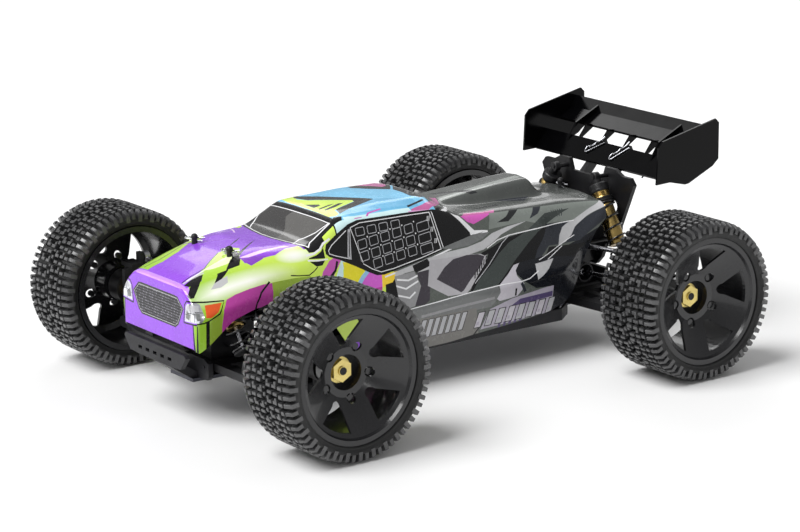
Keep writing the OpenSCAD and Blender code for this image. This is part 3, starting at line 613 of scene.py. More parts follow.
# Each station: y, then [x, z] of the crown, the hump's top and foot, the upper edge, the shoulder,
# the crease and the lower edge
STATIONS = (
    (-261, (0, 120.5), (17, 120.5), (28, 120.5), (39, 119.5), (51, 111), (60, 98), (57.5, 65)),
    (-250, (0, 126), (17, 126), (28, 125.5), (42, 123.5), (56, 111), (64, 100), (62, 73)),
    (-228, (0, 133), (17, 133), (28, 132), (44, 130), (59, 115), (66, 104), (65.5, 92.5)),
    (-205, (0, 138.5), (17, 138.5), (30, 138), (47, 135), (62, 119), (66.5, 108), (66, 99.5)),
    (-180, (0, 142), (17, 142), (31, 142), (50, 138.5), (62, 124), (66.5, 111), (66.5, 100.5)),
    (-150, (0, 142), (17, 142), (34, 141.5), (53, 139.5), (62, 128), (67.5, 113), (68, 99)),
    (-138, (0, 142.5), (17, 142.5), (34, 142), (53.5, 141), (62, 128), (69, 110), (70, 88)),
    (-122, (0, 152), (17, 152), (34, 151.5), (51, 150.5), (62, 127), (71.5, 102), (71.5, 62)),
    (-108, (0, 160), (17, 160), (34, 159.5), (49, 158.5), (62, 124), (73.5, 94), (72, 43)),
    (-92, (0, 162.5), (17, 162.5), (34, 162), (49.5, 158.5), (62, 120), (75, 84), (71.5, 37)),
    (-50, (0, 164.5), (17, 164.5), (34, 163.5), (50, 157.5), (62, 116), (76, 71), (71, 35.5)),
    (-8, (0, 164), (17, 164), (34, 162.5), (50.5, 154), (62, 116), (77, 73), (71, 36)),
    (6, (0, 157.5), (17, 157), (33, 154), (51, 150.5), (61.5, 118), (77.5, 74.5), (71, 37)),
    (20, (0, 151), (17, 150.5), (25, 147), (52, 144), (61, 120), (78, 76), (71.5, 38.5)),
    (56, (0, 154), (17, 153), (24, 143.5), (47, 140.5), (60, 117.5), (78, 78), (72, 41)),
    (104, (0, 157), (17, 156), (24, 141.5), (44, 137.5), (55.5, 121.5), (77, 80), (72, 45)),
    (126, (0, 158), (16.5, 156.5), (23.5, 140.5), (43, 136.5), (51.5, 121), (73.5, 84), (71.5, 51)),
    (136, (0, 144), (16.5, 143), (23.5, 140), (42.5, 136), (50.5, 120.5), (70, 89), (70, 60)),
    (152, (0, 140), (16.5, 140), (24, 139), (43, 135.5), (50, 121.5), (62, 102), (65.5, 88)),
    (170, (0, 138), (16.5, 138), (25, 137.5), (46, 134.5), (51, 124), (58, 115), (60.5, 109)),
    (184, (0, 136.5), (16.5, 136.5), (26, 136), (50, 133), (55, 130), (57.5, 126), (58.5, 119)),
)
TRIM = (0, 4.5, 3.0, 7.0, 5.0, 3.5, 0)     # how far each corner of a section is rounded
STEPS = (5, 4, 6, 8, 9, 11)                # flat cells between two corners
QUARTERS = (0.25, 0.5, 0.75)
SKIN = 1.4
NOSE_ROUND = 4.0
NOSE_Z = 93.0                              # height of the nose panel's middle
NOSE_RINGS = 15
TOP, SIDE, FRONT = 1, 2, 3


def bezier(a, b, c, u):
    return a * (1 - u) ** 2 + b * 2 * u * (1 - u) + c * u * u


def shell_rows():
    """Sections along the shell, rounded where its line breaks: y and seven corner points."""
    stations = [np.array([[s[0], s[0]]] + [list(p) for p in s[1:]], float) for s in STATIONS]
    ys = [s[0, 0] for s in stations]
    last = len(ys) - 1
    cut = [0] + [min(5.0, 0.4 * min(ys[i] - ys[i - 1], ys[i + 1] - ys[i])) for i in range(1, last)] + [0]
    rows = []
    for i in range(last):
        length = ys[i + 1] - ys[i]
        low = NOSE_ROUND / length if i == 0 else cut[i] / length
        high = 1 - cut[i + 1] / length
        count = max(1, round((high - low) * length / 3.2))
        here, span = stations[i], stations[i + 1] - stations[i]
        rows += [here + span * (low + (high - low) * k / count) for k in range(count + 1)]
        if i + 1 < last:
            after = stations[i + 1] + (stations[i + 2] - stations[i + 1]) * (cut[i + 1] / (ys[i + 2] - ys[i + 1]))
            rows += [bezier(rows[-1], stations[i + 1], after, u) for u in QUARTERS]
    return rows


def half_section(corners):
    """Rounded half section, crown to lower edge: points, and which face of the section follows each."""
    spans = [corners[k + 1] - corners[k] for k in range(6)]
    lengths = [max(np.linalg.norm(s), 1e-6) for s in spans]
    points, bands = [], []
    for k in range(6):
        start = 0 if k == 0 else min(TRIM[k], 0.45 * lengths[k])
        end = 0 if k == 5 else min(TRIM[k + 1], 0.45 * lengths[k])
        a = corners[k] + spans[k] * (start / lengths[k])
        b = corners[k + 1] - spans[k] * (end / lengths[k])
        points += [a + (b - a) * (i / STEPS[k]) for i in range(STEPS[k] + 1)]
        bands += [k] * STEPS[k]
        if k < 5:
            c = corners[k + 1] + spans[k + 1] * (min(TRIM[k + 1], 0.45 * lengths[k + 1]) / lengths[k + 1])
            points += [bezier(b, corners[k + 1], c, u) for u in QUARTERS]
            bands += [k, k, k + 1, k + 1]
    return points, bands


def shell_surface():
    """The outer skin: points in drawing millimetres, faces and the zone each is painted in."""
    grid = []
    for r in shell_rows():
        half, bands = half_section(r[1:])
        loop = [(-x, r[0, 0], z) for x, z in reversed(half[1:])] + [(x, r[0, 0], z) for x, z in half]
        grid.append(loop)
    base, y0 = grid[0], grid[0][0][1]

    def shrunk(loop, inset, y):
        return [(x * (1 - inset / 60), y, NOSE_Z + (z - NOSE_Z) * (1 - inset / 32)) for x, _, z in loop]

    nose = [shrunk(base, NOSE_ROUND * (1 - math.cos(a)), y0 - NOSE_ROUND * math.sin(a))
            for a in (math.radians(d) for d in (90, 67.5, 45, 22.5))]
    grid = nose + grid
    columns = len(base)
    zones_across = [TOP if b <= 2 else SIDE for b in [*reversed(bands), *bands]]
    points = [p for loop in grid for p in loop]
    faces, zones = [], []
    for i in range(len(grid) - 1):
        for j in range(columns - 1):
            a = i * columns + j
            faces.append((a, a + 1, a + columns + 1, a + columns))
            zones.append(FRONT if i < 2 else zones_across[j])
    # The nose panel closes the front: rings that shrink towards its middle
    outer = list(range(columns))
    count = 26
    (x1, y1, z1), (x2, _, z2) = grid[0][-1], grid[0][0]
    for k in range(1, count):
        outer.append(len(points))
        points.append((x1 + (x2 - x1) * k / count, y1, z1 + (z2 - z1) * k / count))
    ring = outer
    for level in range(1, NOSE_RINGS):
        scale = 1 - level / NOSE_RINGS
        inner = list(range(len(points), len(points) + len(outer)))
        points += [(points[k][0] * scale, points[k][1], NOSE_Z + (points[k][2] - NOSE_Z) * scale) for k in outer]
        for k in range(len(ring)):
            m = (k + 1) % len(ring)
            faces.append((ring[k], inner[k], inner[m], ring[m]))
            zones.append(FRONT)
        ring = inner
    faces.append(tuple(reversed(ring)))
    zones.append(FRONT)
    return points, faces, zones


class Painter:
    """Cuts painted shapes into a mesh along their outlines, so that every edge of paint is sharp.
    A shape is seen from the side as (y, z), from above as (y, x) or from the front as (x, z)."""
    AXES = {TOP: (1, 0), SIDE: (1, 2), FRONT: (0, 2)}
    CELL = 10.0
    TOUCH = 2e-3

    def __init__(self, points, normals, faces, zones, colours):
        self.points = [tuple(p) for p in points]
        self.normals = [Vector(n) for n in normals]
        self.faces = [list(f) for f in faces]
        self.zones, self.colours = list(zones), list(colours)
        self.flat, self.cells, self.users = {}, {}, {}
        for k, loop in enumerate(self.faces):
            for a, b in zip(loop, loop[1:] + loop[:1]):
                self.users.setdefault((min(a, b), max(a, b)), []).append(k)
            if self.zones[k]:
                self.store(k)

    def cells_of(self, zone, a, b, c, d):
        for i in range(int(a // self.CELL), int(b // self.CELL) + 1):
            for j in range(int(c // self.CELL), int(d // self.CELL) + 1):
                yield zone, i, j

    def store(self, k):
        """Remembers where face k lies in the view its zone is painted from."""
        h, v = self.AXES[self.zones[k]]
        hs = [self.points[w][h] for w in self.faces[k]]
        vs = [self.points[w][v] for w in self.faces[k]]
        self.flat[k] = (min(hs), max(hs), min(vs), max(vs), sum(hs) / len(hs), sum(vs) / len(vs))
        for cell in self.cells_of(self.zones[k], *self.flat[k][:4]):
            self.cells.setdefault(cell, {})[k] = None

    def near(self, zone, a, b, c, d):
        """Faces of a zone that touch a rectangle, always in the same order."""
        found = {}
        for cell in self.cells_of(zone, a, b, c, d):
            for k in self.cells.get(cell, ()):
                e, f, g, i = self.flat[k][:4]
                if k not in found and e < b and f > a and g < d and i > c:
                    found[k] = None
        return found

    def split_edge(self, a, b, t):
        """Puts a new point on the edge from a to b, in every face that uses the edge."""
        new = len(self.points)
        self.points.append(tuple(p + (q - p) * t for p, q in zip(self.points[a], self.points[b])))
        self.normals.append(self.normals[a].lerp(self.normals[b], t).normalized())
        users = self.users.pop((min(a, b), max(a, b)))
        for k in users:
            loop = self.faces[k]
            i = loop.index(a)
            loop.insert(i + 1 if loop[(i + 1) % len(loop)] == b else loop.index(b) + 1, new)
        self.users[a, new], self.users[b, new] = list(users), list(users)
        return new

    def split_face(self, k, a, b):
        """Parts face k along the line from its corner a to its corner b."""
        loop = self.faces[k]
        i, j = loop.index(a), loop.index(b)
        if abs(i - j) in (1, len(loop) - 1):
            return None
        i, j = min(i, j), max(i, j)
        first, second = loop[i:j + 1], loop[j:] + loop[:i + 1]
        new = len(self.faces)
        self.faces[k] = first
        self.faces.append(second)
        self.zones.append(self.zones[k])
        self.colours.append(self.colours[k])
        for p, q in zip(second, second[1:]):
            users = self.users[min(p, q), max(p, q)]
            users[users.index(k)] = new
        self.users[min(a, b), max(a, b)] = [k, new]
        self.store(k)
        self.store(new)
        return new

    def cut(self, faces, zone, p, q):
        """Splits the faces that the outline's edge from p to q crosses."""
        h, v = self.AXES[zone]
        dh, dv = q[0] - p[0], q[1] - p[1]
        a, b = min(p[0], q[0]), max(p[0], q[0])
        c, d = min(p[1], q[1]), max(p[1], q[1])
        length = math.hypot(dh, dv)
        for k in list(faces):
            e, f, g, i = self.flat[k][:4]
            if e > b or f < a or g > d or i < c:
                continue
            loop = list(self.faces[k])
            spots = [(self.points[w][h] - p[0], self.points[w][v] - p[1]) for w in loop]
            off = [(y * dh - x * dv) / length for x, y in spots]
            if min(off) > -self.TOUCH or max(off) < self.TOUCH:
                continue
            along = [x * dh + y * dv for x, y in spots]
            if max(along) <= 0 or min(along) >= length * length:
                continue
            on = []
            for m in range(len(loop)):
                here, after = off[m], off[(m + 1) % len(loop)]
                if abs(here) <= self.TOUCH:
                    on.append(loop[m])
                elif abs(after) > self.TOUCH and here * after < 0:
                    on.append(self.split_edge(loop[m], loop[(m + 1) % len(loop)], here / (here - after)))
            if len(on) == 2:
                new = self.split_face(k, *on)
                if new is not None:
                    faces[new] = None

    def shape(self, zone, colour, outline):
        """Paints the inside of an outline."""
        outline = list(outline)
        hs, vs = [p for p, _ in outline], [q for _, q in outline]
        faces = self.near(zone, min(hs), max(hs), min(vs), max(vs))
        for p, q in zip(outline, outline[1:] + outline[:1]):
            if p != q:
                self.cut(faces, zone, p, q)
        index = COLOURS.index(colour)
        for k in faces:
            if inside(self.flat[k][4], self.flat[k][5], outline):
                self.colours[k] = index

    def line(self, zone, colour, points, width):
        """A stripe along a broken line; a pair of widths makes it taper."""
        first, final = width if isinstance(width, tuple) else (width, width)
        left, right = [], []
        for k, (p, q) in enumerate(points):
            a, b = points[max(k - 1, 0)], points[min(k + 1, len(points) - 1)]
            half = (first + (final - first) * k / (len(points) - 1)) / 2 / math.hypot(b[0] - a[0], b[1] - a[1])
            left.append((p - (b[1] - a[1]) * half, q + (b[0] - a[0]) * half))
            right.append((p + (b[1] - a[1]) * half, q - (b[0] - a[0]) * half))
        for k in range(len(points) - 1):
            self.shape(zone, colour, [left[k], left[k + 1], right[k + 1], right[k]])


def inside(p, q, outline):
    """Whether a point lies inside a closed outline."""
    found = False
    for (p0, q0), (p1, q1) in zip(outline, outline[1:] + outline[:1]):
        if (q0 > q) != (q1 > q) and p < (p1 - p0) * (q - q0) / (q1 - q0) + p0:
            found = not found
    return found


# The outer skin, then a copy of it a skin's thickness inside, joined along the open edges
outer_points, outer_faces, outer_zones = shell_surface()
skin = bpy.data.meshes.new("skin")
skin.from_pydata(outer_points, [], outer_faces)
skin.update()
skin_normals = [v.normal.copy() for v in skin.vertices]
bpy.data.meshes.remove(skin)
count = len(outer_points)
shell_points = outer_points + [tuple(Vector(p) - n * SKIN) for p, n in zip(outer_points, skin_normals)]
sides_of = {}
for f in outer_faces:
    for a, b in zip(f, f[1:] + f[:1]):
        sides_of.setdefault((min(a, b), max(a, b)), []).append((a, b))
rim_faces = [(u[0][1], u[0][0], u[0][0] + count, u[0][1] + count) for u in sides_of.values() if len(u) == 1]
inner_faces = [tuple(k + count for k in reversed(f)) for f in outer_faces]
COLOURS = list(PAINTS) + ["lime", "grille", "lamp", "shell_inside"]
BASE = {TOP: "purple", SIDE: "lime", FRONT: "purple"}
zones = outer_zones + [0] * (len(inner_faces) + len(rim_faces))
paint = Painter(
    shell_points, skin_normals + [-n for n in skin_normals], outer_faces + inner_faces + rim_faces, zones,
    [COLOURS.index(BASE.get(zone, "shell_inside")) for zone in zones],
)


def side(colour, *outline):
    """Paints both sides of the car."""
    paint.shape(SIDE, colour, outline)


def side_line(colour, width, *points):
    paint.line(SIDE, colour, points, width)


def top(colour, *outline):
    paint.shape(TOP, colour, outline)


def top_line(colour, width, *points):
    paint.line(TOP, colour, points, width)


def front(colour, *outline):
    """Painted twice, once on each side of the middle."""
    paint.shape(FRONT, colour, outline)
    paint.shape(FRONT, colour, [(-x, z) for x, z in outline])


def front_line(colour, width, *points):
    paint.line(FRONT, colour, points, width)
    paint.line(FRONT, colour, [(-x, z) for x, z in points], width)


# Fenders and nose, from the side
side("grey_green", (-62, 20), (200, 20), (200, 170), (-62, 170))
side("lime_low", (-187, 118.5), (-165, 119), (-150, 118.5), (-138, 112), (-130, 95), (-200, 95))
side("lime_low", (-249, 94), (-238, 104), (-238, 78), (-249, 70))
# Paler purple on the rounded nose edge: a painted highlight
side("purple_painted_highlight", (-266, 124), (-254, 126), (-256, 118), (-261, 113), (-266, 112))
side("ink", (-255, 120), (-250, 124), (-245, 127), (-240, 128), (-247, 122), (-256, 113.5), (-262, 113))
side("ink", (-226, 134), (-212, 136.5), (-219, 130.5), (-227, 125.5), (-235, 122.5), (-229, 128))
side("grey_pale", (-235, 122.5), (-227, 125.5), (-222, 127), (-224, 122.5), (-231, 119.5), (-240, 118.5))
side("magenta", (-238, 78), (-238, 90), (-236, 103), (-231, 110.5), (-222, 113.5), (-208, 116.5),
     (-195, 118.2), (-187, 118.2), (-188, 106), (-189, 96))
side_line("ink", 1.6, (-189, 119.5), (-199, 112), (-204, 104), (-206, 97))
side_line("ink", 1.4, (-226, 88.5), (-213, 93), (-204, 98), (-190, 101.5), (-186, 104))
side("purple_deep", (-206, 138), (-176, 141), (-187, 136), (-199, 132.5))
side("lamp", (-266, 94.5), (-266, 110), (-257, 110.5), (-254, 109), (-253.5, 98), (-256, 94.5))
side("grey_mid", (-262, 96.5), (-257, 96.5), (-256.5, 102), (-261, 103))
side("silver", (-261, 104.5), (-256.5, 103.5), (-255.5, 108), (-260, 108.8))
side_line("ink", 0.5, (-263, 103.6), (-254, 102.6))
side("amber", (-252.5, 98.5), (-250.5, 108), (-236, 108.8), (-241, 102), (-248, 98))
side_line("ink", 1.2, (-266, 111.2), (-250, 110.3), (-233.5, 110), (-240, 100.5), (-250, 95.5), (-254, 94),
          (-266, 93))
side_line("ink", 3, (-251, 95), (-250.5, 68))
side_line("ink", 1.6, (-260, 92), (-259, 66))

# Cowl and the streaks under the window
side("ink", (-146, 143), (-127, 151), (-126.5, 143.5), (-129, 139), (-135, 136), (-144, 136))
side("ink", (-146, 132.3), (-138, 133.5), (-133, 135.5), (-129.5, 138.5), (-130.5, 130), (-146, 131.5))
side("ink", (-146.5, 129.6), (-140, 128.8), (-131, 128.6), (-135, 125), (-141, 125))
side_line("white", 1.6, (-148, 134.3), (-140, 134.8), (-133, 137.5), (-128.5, 141.5), (-121, 144.5))
side_line("white", 1.2, (-148, 130.6), (-138, 129.3), (-128, 129))
side_line("ink", 0.9, (-168, 121.5), (-160, 120.2), (-150, 119.3), (-145, 121.5), (-140, 124.5))
side("orchid", (-140, 113), (-136, 120), (-127, 127.5), (-121, 129.5), (-114, 127), (-120, 121), (-127, 114),
     (-133, 110))
side_line("ink", 2.2, (-131, 113.5), (-123, 119), (-119, 126))
side("ice", (-125, 112), (-119, 120), (-114, 127), (-108, 125), (-115, 118), (-117, 108))
side("yellow", (-119, 107), (-114, 118), (-113.5, 124.5), (-106, 122.5), (-92, 116.5), (-90, 114.5),
     (-97, 110), (-103, 105))
side("ice_blue", (-103, 105), (-97, 110), (-90, 114.5), (-86, 112.5), (-94, 107.5), (-99, 103))
side("orchid_warm", (-99, 103), (-94, 107.5), (-86, 112.5), (-79, 109.5), (-75, 107.5), (-77, 97), (-88, 98))
side("amber_yellow", (-77, 97), (-75, 107.5), (-65, 107.8), (-57, 108), (-60, 104), (-66, 99))
side("ink", (-66, 99), (-60, 104), (-57, 108), (-52, 108.5), (-58, 104), (-62, 99))
side("ice", (-113, 165), (0, 165), (0, 152), (-40, 153.5), (-90, 154.5), (-101, 152), (-113, 146.5))
side_line("ink", 1.3, (-113.5, 146), (-113, 158))
side("orchid", (-92, 156.5), (-84, 156.5), (-76, 160), (-84, 160))
side("orchid_pale", (-33, 152), (-12, 152), (-5, 158), (-36, 158))

# Side window with its printed net
side("ink", (-128.5, 136), (-126, 140.5), (-113, 147.5), (-100, 153.5), (-90, 155.5), (-40, 154.5),
     (-4, 152.8), (5, 151.5), (10, 147.5), (18, 139.5), (27, 128.5), (27.5, 125.6), (24, 124.3), (0, 119.2),
     (-30, 113), (-60, 108.8), (-72, 107.3), (-80, 108), (-88, 111.8), (-101, 119), (-116, 126.5),
     (-126, 130.5), (-128.5, 133))
side_line("white", 0.7, (-104, 125.3), (-120, 130.6), (-125, 132.8), (-125.2, 135.2), (-121, 139),
          (-103, 148.8))
side("silver", (-107.5, 126.5), (-103.5, 124.8), (-98.5, 149.5), (-101, 149.5))
side_line("ink", 0.9, (-105, 127.5), (-100.2, 147))
side_line("white", 0.7, (-98.3, 150.5), (-92, 120.5))
side_line("white", 0.7, (-98, 150.5), (-88, 153), (-40, 152.2), (-13, 151.3))
side_line("white", 0.7, (-92, 119.5), (-83, 113.5), (-75, 110), (-60, 110.8), (-30, 115), (-7, 119.3))


def net_cell(y, z, wide, high, lean):
    """A rounded square of the net, drawn as an outline."""
    a, b, c = wide / 2, high / 2, 0.8
    ring = [(-a, -b + c), (-a + c, -b), (a - c, -b), (a, -b + c), (a, b - c), (a - c, b), (-a + c, b),
            (-a, b - c)]
    ring = [(y + u, z + v + u * lean) for u, v in ring]
    for p, q in zip(ring, ring[1:] + ring[:1]):
        side_line("silver", 0.6, p, q)


for column, (y, wide) in enumerate(((-89, 9), (-76.5, 9), (-64, 9), (-51, 9), (-38, 9), (-22.5, 13))):
    rise = min(column, 4) * 1.5
    for z in (135.5, 125.5, 116.5):
        if z > 120 or column > 0:
            net_cell(y, z + rise * 0.9, wide, 7.4, 0.11)
    if column < 4:
        net_cell(y, 146.0 + 0.2 * column, wide, 6.6, 0.02)
    for z in (140.7, 130.6, 121.2):
        if column < 5 and (z > 124 or column > 0):
            side_line("white", 1.2, (y + 5.9, z + rise * 0.9), (y + 7.1, z + rise * 0.9))
for y, z in ((-17, 146.5), (-15, 137), (-13, 127)):
    for lean in (0, 1.9):
        side_line("white", 0.7, (y + lean, z - 2), (y + lean + 1.3, z + 2))
side_line("white", 0.8, (-13, 151.5), (-7.3, 119.2))
side_line("white", 0.8, (-10.5, 151.5), (-4.8, 119.8))
side("white", (5, 152.5), (12, 150.5), (19, 143.5), (30, 132), (33, 129), (44, 127.5), (49, 126.5),
     (27.5, 125.6), (27, 128.5), (18, 139.5), (10, 147.5))
side_line("white", 1.4, (-72, 105.3), (-60, 106.8), (-30, 111), (0, 117.2), (24, 122.3), (40, 125), (48, 126))
side("pink", (19, 145.5), (50, 144), (68, 141), (58, 138.5), (45, 136), (34, 134), (27, 137))
side_line("plum", 2, (18, 146), (40, 144.5))

# Rear quarter
side("dusk", (118, 121.5), (151, 120), (165, 125.5), (186, 133.5), (186, 140), (60, 145), (50, 127),
     (95, 127.3), (104, 124.5))
side("soft_black", (62, 131), (75, 130), (92, 137.5), (96, 141), (84, 139.5), (74, 134))
side("slate", (100, 128.5), (112, 131), (124, 139), (114, 140), (106, 133))
for i in range(6):
    side_line("slate", 0.8, (126 + 2.6 * i, 125), (129 + 2.6 * i, 131))
side("grey_pale", (-62, 102.5), (-50, 105), (-40, 105.5), (-35, 102.5), (-22, 104.5), (0, 108.5), (20, 110.3),
     (38, 112), (50, 116), (62, 121), (78, 124.5), (95, 127.3), (72, 126.2), (52, 123.5), (38, 119),
     (20, 116.6), (0, 115.8), (-12, 114.5), (-24, 113.6), (-38, 111), (-60, 107.5))
side("grey_mid", (-8, 119.5), (5, 122), (30, 126), (50, 125), (40, 121), (24, 117.8), (5, 117.2))
side("ink", (-41, 110), (-24, 113.4), (-21, 107.5), (-38, 103.5), (-40, 105.5))
side("ash", (-62, 104), (-40, 105), (-36, 92), (-46, 76.5), (-62, 74))
side_line("white", 1.5, (-60, 101), (-48, 98.5), (-36, 101.5))
side_line("white", 1.5, (-62, 96), (-52, 92), (-38, 96.5))
side_line("white", 1.5, (-62, 88), (-50, 84), (-43, 88))
side("plum_grey", (-38, 103.5), (-22, 104.5), (-30, 79), (-36, 76), (-46, 76.5), (-36, 92))
side("grey_warm", (-22, 111.5), (20, 110.5), (40, 108.5), (38, 100), (17, 84), (9, 79), (-10, 79.5),
     (-29, 91))
side("plum_grey", (-18.5, 95), (-8, 103.5), (3, 109), (18, 110.3), (30, 109.3), (37, 106.5), (30, 99),
     (16, 89.5), (7, 82), (4, 80.8), (-2, 84.5))
for i in range(6):
    side_line("ink", 1.1, (21 + 3.2 * i, 90 + 2.3 * i), (23 + 3.2 * i, 95 + 2.3 * i))
side("ink", (12, 78), (16.5, 80.5), (26, 89), (40, 97), (54, 106.5), (68, 113.5), (90, 119.2), (66, 117.5),
     (50, 113), (33, 109.3), (37.5, 106.8), (42, 108), (36, 100.5), (26, 93), (16, 84))
side_line("ink", (3, 1.2), (14, 80), (12, 72), (8, 64), (5, 58))
side("band", (16.5, 80.5), (46, 81.5), (60, 91.5), (72, 99.5), (92, 110), (118, 121.5), (150, 130),
     (120, 130), (104, 124.5), (90, 119.2), (68, 113.5), (54, 106.5), (40, 97), (26, 89))
side("navy", (66, 94.5), (67, 87), (74, 79.5), (88, 71), (108, 70), (105, 46), (120, 44), (190, 60),
     (190, 118), (172, 111), (150, 104), (120, 98), (92, 96.5), (75, 97))
side("slate", (92, 96.5), (98, 103.5), (110, 112.5), (118, 121.3), (135, 119.8), (151, 119.5), (148, 115),
     (138, 108), (128, 103), (112, 104), (100, 97))
side("ink", (43, 80.5), (47, 80.5), (58, 88.5), (70, 95.5), (92, 96.5), (98, 103.5), (110, 112.5),
     (118, 121.3), (104, 117), (88, 109), (72, 99.7), (60, 92))
side("ink", (112, 103), (130, 101.5), (160, 100), (172, 110), (150, 96), (140, 91), (113, 95), (104, 96))
side("slate", (128, 103), (140, 108), (152, 117), (165, 121), (184, 128.5), (186, 120), (170, 112),
     (150, 103))
side("grey_pale", (90.5, 92), (113, 93.5), (104, 86), (96, 81.5), (89, 78.5), (89.5, 85))
# A pale grey band along the shoulder crease: a painted highlight
side("grey_pale", (124, 102.5), (129, 110), (136, 116), (143, 118.5), (152, 120.5), (165, 125.5), (184, 133.5),
     (186, 133.5), (186, 129.5), (165, 121.5), (150, 114.5), (143, 108.5), (134, 104))
side("mist", (45, 80.5), (58, 88.5), (66, 94.5), (73, 95.5), (67, 90), (67, 85), (73, 78), (71, 72),
     (66, 67.5), (56, 66.5), (46, 66), (42, 69), (46, 74))
side_line("ink", 2, (64, 75), (64, 68))
side_line("slate", 3, (70, 79), (75, 70))
side("grey_mid", (-62, 74), (-20, 76.5), (15, 79.3), (43, 80.5), (46, 74), (41, 66), (37, 62), (-62, 62))
# A paler grey stripe across the lower side: a painted highlight
side_line("ash", 2.5, (-40, 66), (0, 68.5), (40, 70))
side("olive", (-62, 64), (20, 64), (26, 36), (-62, 34))
side_line("ink", 1.6, (20, 38), (27, 46), (30, 56))
side("lavender", (27, 42), (108, 45), (109, 70), (100, 70), (60, 66), (36, 60))
side("violet_dark", (58, 58), (108, 60), (108, 65), (70, 64))
for i in range(5):
    side("violet_dark", (46 + 6 * i, 38), (49 + 6 * i, 38), (50 + 6 * i, 45), (47 + 6 * i, 45))
for i in range(7):
    y = -42 + 7.3 * i
    side("ink", (y - 0.7, 45.4), (y + 5.2, 45.4), (y + 9.2, 62.6), (y + 3.3, 62.6))
    side("silver", (y, 46), (y + 4.5, 46), (y + 8.4, 62), (y + 3.9, 62))
for i in range(8):
    y = 20 + 11.6 * i
    side("ink", (y - 0.9, 44.2), (y + 7.4, 44.2), (y + 11.4, 59.2), (y + 3.1, 59.2))
    side("silver" if i % 3 else "mist", (y, 45), (y + 6.4, 45), (y + 10.2, 58.4), (y + 3.8, 58.4))
    side("lavender", (y + 1.6, 47), (y + 4.4, 47), (y + 5.2, 50), (y + 2.4, 50))
side("ink", (-73, 99), (-62, 100), (-62, 34), (-86, 36))
side("magenta", (-84, 98), (-77, 98), (-91, 36), (-102, 37))
side("purple", (-97, 96), (-88, 97), (-106, 37), (-112, 39))
side_line("white", 0.8, (-53, 74.5), (-20, 76.6), (15, 79.4), (50, 80.8), (70, 80.2), (80, 81.2), (92, 86))
side_line("white", 0.8, (42, 112.5), (56, 117.2), (70, 119.2), (100, 119.8), (151, 119.6))
side_line("white", 0.6, (96, 94.5), (120, 101), (146, 108))
side_line("white", 0.6, (106, 93.5), (128, 101.5))
side_line("silver", 0.7, (20, 86), (40, 99), (60, 114), (70, 119))

# Bonnet, from above
# Paler purple strip along the bonnet's front edge: a painted highlight
top("purple_painted_highlight", (-270, -60), (-257, -60), (-257, 60), (-270, 60))
top("lime", (-246, 34), (-242, 44.5), (-203, 50), (-202.5, 38), (-197, 30), (-191, 20), (-196, 8),
    (-203, 13.5), (-208, 12.8), (-221, 21), (-232, 28.5), (-238, 30.5))
top("lime_pale", (-235, 30), (-208, 27), (-203, 36), (-215, 38), (-228, 35))
top("ink", (-257, 36), (-253, 43.5), (-246, 45), (-238, 36), (-243, 33.5), (-252, 35))
top_line("grey_pale", 2, (-256, 33), (-236, 34))
top_line("ink", 1.0, (-256, 31), (-248, 29.8), (-232, 28.5), (-221, 21), (-208, 12.8))
top_line("white", 1.4, (-252, 32.5), (-234, 31))
top("ink", (-222, 46), (-214, 48), (-205, 38), (-202, 33), (-209, 34))
top("ink", (-207, 22), (-202, 23.5), (-193, 10), (-193.5, 6), (-197, 7), (-203, 15))
top("ink", (-205, 32.5), (-199, 33.5), (-190, 27), (-178, 18), (-167, 8), (-180, 17.5), (-195, 27))
top("ink", (-195, 8.5), (-192, 7), (-182, 1.5), (-174, -5.5), (-183, 0))
top("ink", (-217, 49), (-211, 50), (-203, 40), (-196, 24), (-200, 22), (-209, 36))
top("purple_deep", (-202.5, 51), (-202.5, 38), (-195, 41), (-183, 47), (-178, 52))
top("pink_pale", (-202.5, 37), (-196, 41.5), (-183, 42.5), (-165, 41), (-155, 42), (-158, 38), (-170, 38.5),
    (-188, 37))
top("lime", (-180, 52), (-160, 44.5), (-148, 45), (-146, 56), (-178, 56))
top("lime", (-256, -60), (-256, -24), (-242, -22), (-224, -26), (-205, -37), (-205, -60))
top_line("ink", 1.0, (-254, -33), (-241, -30), (-226, -33.5), (-208, -40))
top_line("purple_deep", 0.9, (-256, -23.5), (-242, -21.5), (-224, -25.5), (-206, -36))
top("lime", (-209, -52), (-207, -36), (-203, -33), (-192, -33), (-188, -44), (-187, -52))
top("ink", (-203, -52), (-201, -44), (-196, -43), (-196, -52))
top("lime", (-153, -56), (-153, -40), (-147, -44), (-143, -56))
top_line("purple_deep", 1.2, (-174, -5), (-190, -14), (-203, -27), (-208, -38), (-209, -48))
top_line("purple_deep", 1.2, (-170, -24), (-183, -28), (-187, -40), (-186, -52))
top_line("pink_pale", 1.5, (-167, -25), (-160, -40), (-156, -54))

# Windshield and roof
top("sky", (-113, -60), (-5, -60), (-5, 60), (-113, 60))
top("deck", (-5, -60), (190, -60), (190, 60), (-5, 60))
top("ink", (-144, 56), (-148, 42), (-152, 28), (-154.5, 12), (-154.5, -5), (-152, -22), (-148, -38), (-143, -52),
    (-141, -56), (-112, -56), (-112, 56))
top_line("white", 1.3, (-141.5, 52), (-145.5, 41), (-149.5, 28), (-152, 12), (-152, -5), (-149.5, -22),
         (-145.5, -37), (-141, -50))
top("glass_dark", (-140.5, 46), (-148, 28), (-150.5, 12), (-150.5, -5), (-148, -22), (-144, -35), (-128, -50),
    (-115.5, -50), (-115.5, 46))
top("glass_pale", (-150, 14), (-148, 26), (-143, 37), (-115.5, 41), (-115.5, -10), (-122, -12), (-133, 3))
top_line("white", 1.3, (-148, 38), (-139, 33), (-127, 41), (-113.5, 43.5))
top_line("white", 1.3, (-142, 52), (-137, 47), (-114, 44))
top_line("white", 1.2, (-146, -33), (-140, -40), (-126, -49), (-113, -48))
top_line("white", 0.8, (-115, -48), (-114.6, 45))
top("ink", (-114, -60), (-109, -60), (-109, 60), (-114, 60))
